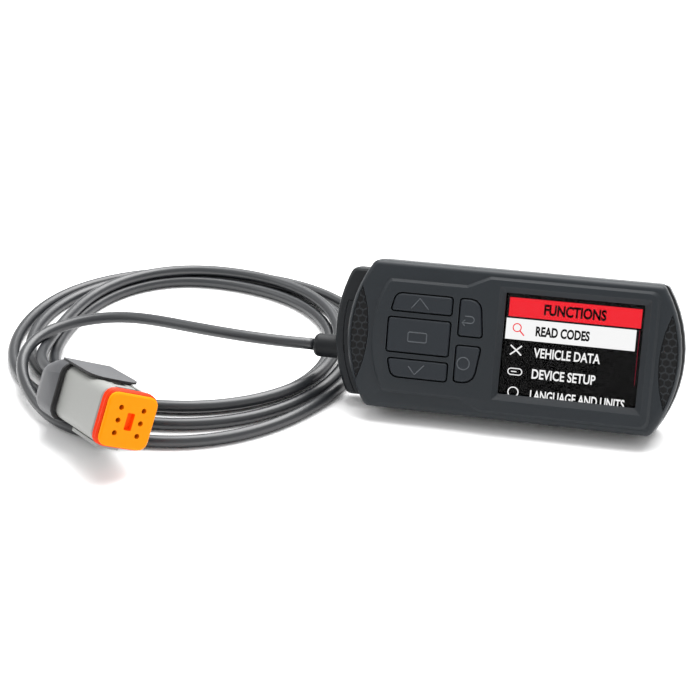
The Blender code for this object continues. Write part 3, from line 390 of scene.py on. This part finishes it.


# Rear shell --------------------------------------------------------------------------------------
# The deep back half of the case, moulded in glossy black plastic, open at the left end where the lead
# plugs in. Four screws hold it to the front half. The ledge of its rim at the free end is painted pale
# grey as a painted reflection.
LEAN = math.radians(20)                          # the reader stands on its lower edge and leans back
WINDOW_PLACE = np.array((22.1, 1.1, 6.55))       # middle of the window in the reader's axes, in mm


def middle_of(node):
    """The middle of a solid's box."""
    low, high = (np.array(corner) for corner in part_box(node))
    return (low + high) / 2


reader_axes = np.array([
    (1, 0, 0), (0, math.sin(LEAN), math.cos(LEAN)), (0, -math.cos(LEAN), math.sin(LEAN))])
reader_origin = middle_of("display_window") - WINDOW_PLACE * MM @ reader_axes


def on_reader(points):
    """Points in mm in the reader's axes, x along it, y up its face and z out of it, in the frame."""
    return reader_origin + np.asarray(points, float) * MM @ reader_axes


def finished_copy(node, name, material, edge=0.3, segments=2, limit=28):
    """A copy of a solid with its loose triangles merged, its flats made whole and its edges rounded."""
    mesh = frame["nodes"][node].data.copy()
    mesh.name = name
    mesh.materials.clear()
    mesh.materials.append(material)
    shape = bmesh.new()
    shape.from_mesh(mesh)
    bmesh.ops.remove_doubles(shape, verts=shape.verts, dist=0.001 * MM)
    bmesh.ops.dissolve_limit(shape, angle_limit=math.radians(0.5), verts=shape.verts, edges=shape.edges)
    shape.to_mesh(mesh)
    shape.free()
    piece = bpy.data.objects.new(name, mesh)
    scene.collection.objects.link(piece)
    mesh.shade_smooth()
    mesh.set_sharp_from_angle(angle=math.radians(limit))
    rounding = piece.modifiers.new("rounded edges", "BEVEL")
    rounding.width = edge * MM
    rounding.segments = segments
    rounding.limit_method = "ANGLE"
    rounding.angle_limit = math.radians(limit)
    rounding.harden_normals = True
    rounding.use_clamp_overlap = True
    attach(piece, frame["nodes"][node]["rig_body"])
    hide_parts(node)
    return piece


def faces_in(piece, origin, axes):
    """The middle, in mm, and the normal of each face of a piece, in the given axes."""
    count = len(piece.data.polygons)
    middles, normals = np.zeros(3 * count), np.zeros(3 * count)
    piece.data.polygons.foreach_get("center", middles)
    piece.data.polygons.foreach_get("normal", normals)
    return (middles.reshape(-1, 3) - origin) @ axes.T / MM, normals.reshape(-1, 3) @ axes.T


def second_finish(piece, material, chosen):
    """Gives the chosen faces of a piece another finish."""
    piece.data.materials.append(material)
    piece.data.polygons.foreach_set("material_index", chosen.astype(np.int32))


rear_plastic = moulded("rear shell plastic", (20, 21, 23), (26, 28, 30), (52, 55, 58),
                       0.2, fineness=2200, depth=0.006, specular=0.6)
rear_shell = finished_copy("rear_shell", "rear_shell_moulding", rear_plastic)
# The rim's pale grey is a painted reflection of the bright room on the glossy ledge.
rim_painted_reflection = moulded("rim painted reflection", (136, 138, 140), (150, 152, 154), (180, 182, 184), 0.3,
                    fineness=2600, depth=0.01, gain=2)
REFLECTION_RIM_X = 53.0                                     # outward faces of the free end's rim, from here on in mm, are painted pale grey: a painted reflection
middles, normals = faces_in(rear_shell, reader_origin, reader_axes)
second_finish(rear_shell, rim_painted_reflection, (middles[:, 0] > REFLECTION_RIM_X) & (normals[:, 2] > 0.5))


# Board and what is on it -------------------------------------------------------------------------
# A green fibreglass board lies in the case on the screw bosses. Black resin chips, a shielded radio
# and a coil are soldered under it, and a socket stands at its left end for the lead's pins.
def patterned(name, roughness, metallic=0.0, specular=0.5):
    """A material with plain gloss, and its nodes, whose place is turned into the reader's axes."""
    material, nodes, shader, join = shader_nodes(name)
    shader.inputs["Roughness"].default_value = roughness
    shader.inputs["Metallic"].default_value = metallic
    shader.inputs["Specular IOR Level"].default_value = specular
    where = nodes.new("ShaderNodeTexCoord")
    straight = nodes.new("ShaderNodeMapping")
    straight.inputs["Rotation"].default_value = (LEAN - math.pi / 2, 0, 0)
    join(where.outputs["Object"], straight.inputs["Vector"])
    return material, nodes, shader, join, straight.outputs["Vector"]


def dressed(node, material):
    """Gives a carried-over solid its finish."""
    frame["nodes"][node].data.materials.clear()
    frame["nodes"][node].data.materials.append(material)


laminate, nodes, shader, join, vector = patterned("board laminate", 0.35)
tracks = nodes.new("ShaderNodeTexBrick")
tracks.inputs["Color1"].default_value = linear(8, 74, 40)
tracks.inputs["Color2"].default_value = linear(10, 62, 34)
tracks.inputs["Mortar"].default_value = linear(44, 122, 64)
tracks.inputs["Scale"].default_value = 300
tracks.inputs["Mortar Size"].default_value = 0.035
join(vector, tracks.inputs["Vector"])
join(tracks.outputs["Color"], shader.inputs["Base Color"])
join(raised(nodes, join, tracks.outputs["Fac"], 0.03 * MM), shader.inputs["Normal"])
dressed("main_board", laminate)

black_resin = moulded("black resin", (15, 15, 16), (24, 24, 25), (70, 70, 70), 0.5,
                      fineness=5000, depth=0.03, cloud=300)
for node in ("processor_chip", "memory_chip", "power_converter", "board_socket"):
    dressed(node, black_resin)


STREAK_GLOSS = 0.08


def brushed(name, dark, light, roughness, stretch=(1, 12, 1)):
    """Sheet or turned metal: noise drawn out along one axis gives its colour, gloss and fine lines."""
    material, nodes, shader, join = shader_nodes(name)
    where = nodes.new("ShaderNodeTexCoord")
    drawn = nodes.new("ShaderNodeMapping")
    drawn.inputs["Scale"].default_value = stretch
    streaks = nodes.new("ShaderNodeTexNoise")
    streaks.inputs["Scale"].default_value = 400
    streaks.inputs["Detail"].default_value = 4
    join(where.outputs["Object"], drawn.inputs["Vector"])
    join(drawn.outputs["Vector"], streaks.inputs["Vector"])
    share = streaks.outputs["Fac"]
    join(mixed(nodes, join, share, linear(*dark), linear(*light)), shader.inputs["Base Color"])
    gloss = spread(nodes, join, share, roughness - STREAK_GLOSS, roughness + STREAK_GLOSS)
    join(gloss, shader.inputs["Roughness"])
    join(raised(nodes, join, share, 0.01 * MM), shader.inputs["Normal"])
    shader.inputs["Metallic"].default_value = 1
    return material


tinned_steel = brushed("tinned steel", (168, 170, 172), (205, 206, 206), 0.3)
dressed("radio_module", tinned_steel)


# Display -----------------------------------------------------------------------------------------
# A small colour screen in a steel tray, joined to the board by a flat cable, behind a clear window.
# It is lit and shows a plain menu: a red title bar, a white chosen line and dark lines below.
SCREEN_Z = 5.6                                   # top of the glass of the screen, in mm
dressed("display_tray", tinned_steel)
flat_cable, nodes, shader, join, vector = patterned("flat cable", 0.4)
conductors = nodes.new("ShaderNodeTexWave")
conductors.inputs["Scale"].default_value = 320
conductors.inputs["Distortion"].default_value = 0
join(vector, conductors.inputs["Vector"])
cable_colour = mixed(nodes, join, conductors.outputs["Fac"], linear(186, 104, 34), linear(214, 140, 62))
join(cable_colour, shader.inputs["Base Color"])
dressed("display_ribbon", flat_cable)

screen_black = moulded("screen glass", (2, 2, 3), (4, 4, 5), (6, 6, 7), 0.3, fineness=8000,
                       depth=0.002, gain=0, specular=0.15)
dressed("display_panel", screen_black)


ROW_DIMNESS = 0.93                               # of the light between two rows of dots


def lit(name, colour):
    """A lit colour of the screen, a little darker between its rows of dots."""
    material, nodes, shader, join, vector = patterned(name, 0.5, specular=0.1)
    shader.inputs["Base Color"].default_value = linear(4, 4, 5)
    rows = nodes.new("ShaderNodeTexWave")
    rows.bands_direction = "Y"
    rows.inputs["Scale"].default_value = 1600
    rows.inputs["Distortion"].default_value = 0
    join(vector, rows.inputs["Vector"])
    full = linear(*colour)
    between = tuple(ROW_DIMNESS * part for part in full[:3]) + (1.0,)
    join(mixed(nodes, join, rows.outputs["Fac"], between, full), shader.inputs["Emission Color"])
    shader.inputs["Emission Strength"].default_value = 1.2
    return material


lit_red = lit("lit red", (250, 40, 52))
lit_white = lit("lit white", (255, 255, 255))
screen_ink = moulded("screen ink", (3, 3, 4), (5, 5, 6), (6, 6, 7), 0.5, gain=0, specular=0.1)
dark_red = lit("lit dark red", (120, 18, 40))


PICTURE_SINK = 0.02                              # how far the picture's bars go into the glass, in mm
LETTER_DEPTH = 0.03


def on_screen(name, points, faces, material):
    """A thin piece of the picture, from points in mm about the middle of the window."""
    points = np.asarray(points, float) + (WINDOW_PLACE[0], WINDOW_PLACE[1], SCREEN_Z)
    piece = mesh_piece(name, on_reader(points), faces, smooth=False)
    piece.data.materials.append(material)
    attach(piece, "reader")


def plate(name, left, bottom, right, top, material, height):
    """A flat bar of the picture: a box from the screen's glass up to the given height."""
    x, y, z = np.meshgrid((left, right), (bottom, top), (-PICTURE_SINK, height), indexing="ij")
    corners = np.stack([x, y, z], -1).reshape(-1, 3)
    faces = [(0, 1, 3, 2), (4, 6, 7, 5), (0, 4, 5, 1), (2, 3, 7, 6), (0, 2, 6, 4), (1, 5, 7, 3)]
    on_screen(name, corners, faces, material)


def words(name, text, left, foot, width, height, material, level, weight=0.02):
    """A line of the menu in heavy narrow capitals, fitted to a width and a height in mm."""
    curve = bpy.data.curves.new(name, "FONT")
    curve.body = text
    curve.offset = weight
    curve.extrude = 0.5
    curve.resolution_u = 4
    maker = bpy.data.objects.new(name, curve)
    mesh = bpy.data.meshes.new_from_object(maker)
    points = np.zeros(3 * len(mesh.vertices))
    mesh.vertices.foreach_get("co", points)
    points = points.reshape(-1, 3)
    low, high = points.min(0), points.max(0)
    size = np.array((width, height, LETTER_DEPTH)) / (high - low)
    placed = (points - low) * size + (left, foot, level)
    on_screen(name, placed, [tuple(face.vertices) for face in mesh.polygons], material)
    bpy.data.objects.remove(maker)
    bpy.data.meshes.remove(mesh)


def stroke(name, path, radius, material, closed=False):
    """A drawn line of the picture: a fine round bead along a path in mm about the window's middle."""
    flat = np.column_stack([np.asarray(path, float), np.zeros(len(path))])
    line = on_reader(flat + (WINDOW_PLACE[0], WINDOW_PLACE[1], SCREEN_Z))
    piece = tube(name, line, radius * MM, sides=8, closed=closed)
    piece.data.materials.append(material)
    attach(piece, "reader")


def rounded_box(left, bottom, right, top, radius, steps=6):
    """Points round a rectangle whose corners are quarter circles."""
    turn = np.linspace(0, math.pi / 2, steps)
    arc = np.stack([np.cos(turn), np.sin(turn)], -1) * radius
    corners = ((right, top, 0), (left, top, 1), (left, bottom, 2), (right, bottom, 3))
    inward = np.array(((-1, -1), (1, -1), (1, 1), (-1, 1))) * radius
    quarter = (np.array(((1, 0), (0, 1))), np.array(((0, 1), (-1, 0))), np.array(((-1, 0), (0, -1))),
               np.array(((0, -1), (1, 0))))
    return np.vstack([np.array((x, y)) + inward[k] + arc @ quarter[k] for x, y, k in corners])


LINE_PITCH = 8.0                                 # of the menu, in mm
FIRST_FOOT = 3.5                                 # foot of the chosen line's words
WORDS_LEFT = -13.6
plate("menu_title_bar", -24.2, 10.2, 24.6, 17.3, lit_red, 0.03)
plate("menu_chosen_line", -24.8, 1.6, 23.2, 9.5, lit_white, 0.03)
words("menu_title", "FUNCTIONS", -11.2, 11.6, 23.0, 4.2, screen_ink, 0.02, weight=0.04)
words("menu_line_1", "READ CODES", WORDS_LEFT, FIRST_FOOT, 20.0, 3.8, screen_ink, 0.02, weight=0.04)
OTHER_LINES = (("VEHICLE DATA", 24.6), ("DEVICE SETUP", 23.6), ("LANGUAGE AND UNITS", 35.0))
for below, (text, width) in enumerate(OTHER_LINES, 1):
    words(f"menu_line_{below + 1}", text, WORDS_LEFT, FIRST_FOOT - below * LINE_PITCH, width, 3.7,
          lit_white, 0.0)
stroke("menu_scroll_line", [(24.3, 9.5), (24.3, 0), (24.3, -11)], 0.1, dark_red)
ring_turn = np.linspace(0, 2 * math.pi, 24, endpoint=False)
lens_ring = np.stack([-20.6 + 1.5 * np.cos(ring_turn), 6.1 + 1.5 * np.sin(ring_turn)], -1)
stroke("menu_icon_glass", lens_ring, 0.22, lit_red, closed=True)
stroke("menu_icon_handle", [(-19.5, 5.0), (-18.6, 4.1), (-17.8, 3.3)], 0.26, lit_red)
stroke("menu_icon_bar_1", [(-22.4, -4.2), (-20.2, -2.4), (-18.2, -0.6)], 0.28, lit_white)
stroke("menu_icon_bar_2", [(-22.4, -0.6), (-20.2, -2.4), (-18.2, -4.2)], 0.28, lit_white)
stroke("menu_icon_case", rounded_box(-22.6, -11.7, -17.4, -9.3, 1.15), 0.2, lit_white, closed=True)
stroke("menu_icon_case_line", [(-21.4, -10.5), (-20.3, -10.5), (-19.4, -10.5)], 0.2, lit_white)
stroke("menu_icon_globe", rounded_box(-21.9, -20.1, -18.1, -16.4, 1.8), 0.22, lit_white, closed=True)

window_glass, nodes, shader, join = shader_nodes("window glass")
shader.inputs["Transmission Weight"].default_value = 1
shader.inputs["IOR"].default_value = 1.1
shader.inputs["Specular IOR Level"].default_value = 0.25
smears = nodes.new("ShaderNodeTexNoise")
smears.inputs["Scale"].default_value = 60
glass_place = nodes.new("ShaderNodeTexCoord")
join(glass_place.outputs["Object"], smears.inputs["Vector"])
join(spread(nodes, join, smears.outputs["Fac"], 0.0, 0.03), shader.inputs["Roughness"])
dressed("display_window", window_glass)


# Keypad ------------------------------------------------------------------------------------------
# Five rubber keys stand through the face. Each presses a steel snap dome on the board through a thin
# rubber mat, and has its sign moulded on it as a fine raised line.
KEY_TOP_Z = 11.0                                 # in the reader's axes, mm
SIGN_RADIUS = 0.26
key_rubber = moulded("key rubber", (25, 30, 35), (29, 34, 40), (58, 62, 66), 0.58,
                     fineness=4200, depth=0.03, gain=5, specular=0.3)
sign_rubber = moulded("key sign", (62, 66, 70), (74, 78, 83), (84, 88, 92), 0.5, fineness=4200,
                      depth=0.02, gain=2, specular=0.35)
mat_rubber = moulded("mat rubber", (16, 16, 17), (24, 24, 25), (40, 40, 42), 0.7,
                     fineness=2500, depth=0.05)
dressed("keypad_mat", mat_rubber)
spring_steel = brushed("spring steel", (150, 151, 150), (196, 197, 196), 0.25, stretch=(1, 1, 6))
for key in ("up", "select", "down", "back", "circle"):
    dressed(f"dome_{key}", spring_steel)
    finished_copy(f"key_{key}", f"key_{key}_cap", key_rubber, edge=0.35)


def sign(name, body, path, closed=False):
    """A raised line on a key: a round bead along a path in the reader's axes, half sunk in the key."""
    flat = np.column_stack([np.asarray(path, float), np.full(len(path), KEY_TOP_Z - 0.4 * SIGN_RADIUS)])
    bead = tube(name, on_reader(flat), SIGN_RADIUS * MM, sides=10, closed=closed)
    bead.data.materials.append(sign_rubber)
    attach(bead, body)


circle_turn = np.linspace(0, 2 * math.pi, 40, endpoint=False)
back_turn = np.linspace(-math.pi / 2, math.pi / 2, 9)
sign("sign_up", "up_key",
     [(-38.2, 11.1), (-36.7, 13.05), (-35.1, 15.0), (-33.3, 13.05), (-31.5, 11.1)])
sign("sign_select", "select_key", rounded_box(-38.6, -1.5, -31.5, 2.1, 0.6), closed=True)
sign("sign_down", "down_key",
     [(-37.6, -10.8), (-36.3, -12.3), (-35.0, -13.8), (-33.3, -11.9), (-31.5, -10.0)])
sign("sign_circle", "circle_key",
     np.stack([-16.9 + 2.3 * np.cos(circle_turn), -7.7 + 2.3 * np.sin(circle_turn)], -1), closed=True)
sign("sign_back", "back_key", np.vstack([
    [(-18.6, 7.6), (-17.2, 7.6)],
    np.stack([-15.4 + 1.25 * np.cos(back_turn), 8.85 + 1.25 * np.sin(back_turn)], -1),
    [(-16.6, 10.1), (-17.8, 10.1)]]))
sign("sign_back_arrow", "back_key",
     [(-17.5, 8.7), (-18.1, 8.15), (-18.7, 7.6), (-18.1, 7.05), (-17.5, 6.5)])


# Front shell -------------------------------------------------------------------------------------
# The face of the case, moulded in matt dark grey plastic with a raised panel round the screen and keys.
# Each end has a pocket with a pad of raised hexagons for the fingers.
shell_plastic = moulded("front shell plastic", (24, 29, 33), (29, 34, 39), (66, 70, 74),
                        0.5, fineness=3600, depth=0.03, gain=5, specular=0.3)
finished_copy("front_shell", "front_shell_moulding", shell_plastic, edge=0.35)

pad_rubber = moulded("pad rubber", (13, 13, 14), (18, 19, 20), (30, 32, 34), 0.6,
                     fineness=5000, depth=0.03, gain=1, specular=0.2)
nodes, join = pad_rubber.node_tree.nodes, pad_rubber.node_tree.links.new
pad_colour = nodes["Principled BSDF"].inputs["Base Color"]
# The ridges are painted lighter than the cells: a painted highlight on the ridge tops.
ridge_highlight = nodes.new("ShaderNodeAttribute")
ridge_highlight.attribute_name = "ridge"
join(mixed(nodes, join, ridge_highlight.outputs["Fac"], pad_colour.links[0].from_socket, linear(40, 43, 46)),
     pad_colour)

PAD_OUTER = (13.5, 47.8)                         # the lens's two arcs: middle and radius, in mm
PAD_INNER = (103.1, 49.0)
PAD_MIDDLE_X = 57.0
PAD_INSET = 0.2
PAD_BASE_Z = 8.72
PAD_SINK = 0.3                                   # how far its rim goes under the floor
PAD_RIM = 0.35                                   # how wide the rim is
RIDGE_HEIGHT = 0.34
RIDGE_WIDTH = 0.42
HEXAGON_PITCH = 2.9


def hexagon_ridge(x, y, pitch, width):
    """1 on the borders between hexagons and 0 inside them: the distance to the nearest middle of two
    interleaved rectangular grids, measured across the flats, against half the pitch."""
    tall = pitch * math.sqrt(3)
    shares = []
    for shift in (0.0, 0.5):
        across = (x / pitch + shift) % 1 - 0.5
        along = (y / tall + shift) % 1 - 0.5
        reach = np.maximum(np.abs(across) * pitch,
                           np.abs(across) * pitch / 2 + np.abs(along) * tall * math.sqrt(3) / 2)
        shares.append(reach)
    edge = (pitch / 2 - np.minimum(*shares)) / width
    return 1 - np.clip(edge, 0, 1)


def grip_pad(name, side):
    """A pad in the lens between two arcs: rows run up the lens and columns from its inner arc to its
    outer one. The height is the base plus the hexagons' ridges, and falls under the pocket's floor at
    the pad's edge. One face closes it below."""
    rows, columns = 230, 46
    apart = PAD_INNER[0] - PAD_OUTER[0]
    tip_x = (apart**2 + PAD_OUTER[1] ** 2 - PAD_INNER[1] ** 2) / (2 * apart)
    tip_y = math.sqrt(PAD_OUTER[1] ** 2 - tip_x**2) - 2 * PAD_INSET
    up, over = np.meshgrid(np.linspace(-tip_y, tip_y, rows), np.linspace(0, 1, columns), indexing="ij")
    inner = PAD_INNER[0] - np.sqrt(PAD_INNER[1] ** 2 - up**2) + PAD_INSET
    outer = PAD_OUTER[0] + np.sqrt(PAD_OUTER[1] ** 2 - up**2) - PAD_INSET
    least_width = 0.02
    x = inner + over * np.maximum(outer - inner, least_width)
    ridge = hexagon_ridge(x - PAD_MIDDLE_X, up, HEXAGON_PITCH, RIDGE_WIDTH)
    rim = (np.minimum(np.minimum(x - inner, outer - x), tip_y - np.abs(up)) / PAD_RIM).clip(0, 1)
    z = PAD_BASE_Z + RIDGE_HEIGHT * ridge * rim - PAD_SINK * (1 - rim)
    quads = grid_faces(rows, columns)
    border = np.r_[np.arange(columns - 1), np.arange(columns - 1, rows * columns - 1, columns),
                   np.arange(rows * columns - 1, (rows - 1) * columns, -1),
                   np.arange((rows - 1) * columns, 0, -columns)]
    faces = [tuple(f) for f in quads[:, ::side]] + [tuple(border[::side])]
    pad = mesh_piece(name, on_reader(np.stack([side * x, up, z], -1)), faces)
    tone = pad.data.attributes.new("ridge", "FLOAT", "POINT")
    tone.data.foreach_set("value", (ridge * rim).ravel().astype(np.float32))
    pad.data.materials.append(pad_rubber)
    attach(pad, "reader")


grip_pad("grip_pad_right", 1)
grip_pad("grip_pad_left", -1)


# Gasket and screws -------------------------------------------------------------------------------
# A black rubber gasket lies in the joint between the two halves of the case. Four blacked steel screws
# are driven from the back and hold the halves together.
seal_black = moulded("black rubber", (14, 14, 15), (20, 20, 21), (40, 40, 41), 0.62,
                     fineness=2500, depth=0.04)
dressed("shell_gasket", seal_black)
screw_steel = brushed("screw steel", (60, 61, 63), (98, 99, 101), 0.35, stretch=(3, 3, 3))
for number in range(1, 5):
    dressed(f"case_screw_{number}", screw_steel)


# Lead's head -------------------------------------------------------------------------------------
# A black plastic head is moulded on the lead's end and its long rubber strain relief. Its pin block
# goes into the reader's socket, with a rubber seal round it.
head_plastic = moulded("head moulding", (16, 20, 23), (22, 26, 30), (50, 54, 58), 0.45,
                       fineness=3000, depth=0.03, gain=5, specular=0.3)
finished_copy("lead_head", "lead_head_moulding", head_plastic)
relief_rubber = moulded("relief rubber", (12, 14, 17), (17, 20, 23), (40, 43, 47), 0.5,
                        fineness=2500, depth=0.04, specular=0.25)
finished_copy("strain_relief", "strain_relief_moulding", relief_rubber, edge=0.5)
finished_copy("pin_block", "pin_block_body", black_resin, edge=0.2)
dressed("head_seal", seal_black)


# Plug's housing ----------------------------------------------------------------------------------
# A square six-way housing moulded in pale grey nylon. Four tinned contacts stand in it, rubber blanks
# close the two ways that aren't used, and a snap arm holds it at the top and at the bottom.
SEAL_PLACE = np.array((-3.45, 0, 0))             # middle of the face seal in the plug's axes, in mm
PLUG_TURN = Euler([math.radians(a) for a in (-26, -8, -42)])
plug_axes = np.array(PLUG_TURN.to_matrix()).T
plug_origin = middle_of("face_seal") - SEAL_PLACE * MM @ plug_axes
nylon = moulded("housing nylon", (132, 133, 130), (143, 144, 141), (186, 187, 185), 0.45,
                fineness=2600, depth=0.05, gain=3)
finished_copy("plug_housing", "plug_housing_moulding", nylon)
for side in ("upper", "lower"):
    finished_copy(f"latch_{side}", f"latch_{side}_arm", nylon, edge=0.15)
contact_metal = brushed("tinned contact", (190, 188, 180), (226, 224, 216), 0.22)
for number in range(1, 5):
    dressed(f"contact_{number}", contact_metal)
blank_rubber = moulded("blank rubber", (70, 16, 10), (96, 24, 14), (120, 40, 24), 0.55,
                       fineness=3000, depth=0.05)
for number in (1, 2):
    dressed(f"blanking_plug_{number}", blank_rubber)


# Wedge and face seal -----------------------------------------------------------------------------
# An orange wedge is pushed into the plug's face and locks the contacts. A red silicone seal with two
# ribs goes round the nose behind it.
wedge_plastic = moulded("wedge plastic", (230, 132, 0), (238, 140, 0), (250, 165, 10), 0.5,
                        fineness=2600, depth=0.04, gain=2, specular=0.08)
wedge = finished_copy("wedge_lock", "wedge_lock_moulding", wedge_plastic, edge=0.15)
red_silicone = moulded("red silicone", (206, 44, 2), (220, 54, 4), (236, 84, 12), 0.45,
                       fineness=1800, depth=0.05, gain=2, specular=0.15)
finished_copy("face_seal", "face_seal_ring", red_silicone, edge=0.2)
# The inside of the wedge's slot is painted bright orange-red: painted light in a recess that lies in
# shade.
slot_painted_light = moulded("slot painted light", (255, 92, 0), (255, 104, 2), (255, 130, 20), 0.5,
                   fineness=1800, depth=0.02, gain=1, specular=0.15)
SLOT_HALF = (2.4, 4.6)                           # half sizes of the wedge's slot, whose inside is painted light, in mm
SLOT_X = -0.1                                    # the painted light starts just behind the wedge's face
middles, normals = faces_in(wedge, plug_origin, plug_axes)
second_finish(wedge, slot_painted_light, (np.abs(middles[:, 1]) < SLOT_HALF[0])
              & (np.abs(middles[:, 2]) < SLOT_HALF[1]) & (middles[:, 0] < SLOT_X))


# Rear boot ---------------------------------------------------------------------------------------
# A soft black rubber boot is pulled over the back of the housing and narrows to the cord. Its sleeve is
# painted mid grey as a painted sheen. Its front lip and the edges of the tongue that covers the upper
# arm are painted black as painted shade in the gap between boot and housing.
# Mid grey on the black rubber: a painted sheen of the soft box.
boot_painted_sheen = moulded("boot rubber", (62, 63, 66), (70, 71, 74), (120, 121, 123), 0.5,
                    fineness=1800, depth=0.05, gain=2)
boot = finished_copy("rear_boot", "rear_boot_moulding", boot_painted_sheen)
LIP_SHADE_X = -37.0                                    # the sleeve ends and the lip starts, in the plug's axes; the lip's sides ahead are painted shade
middles, normals = faces_in(boot, plug_origin, plug_axes)
# Faces toward the nose and the lip's sides take the black rubber finish as painted shade in the gap
# round the housing.
second_finish(boot, seal_black,
              (normals[:, 0] > 0.5) | ((middles[:, 0] > LIP_SHADE_X) & (np.abs(normals[:, 2]) < 0.7)))
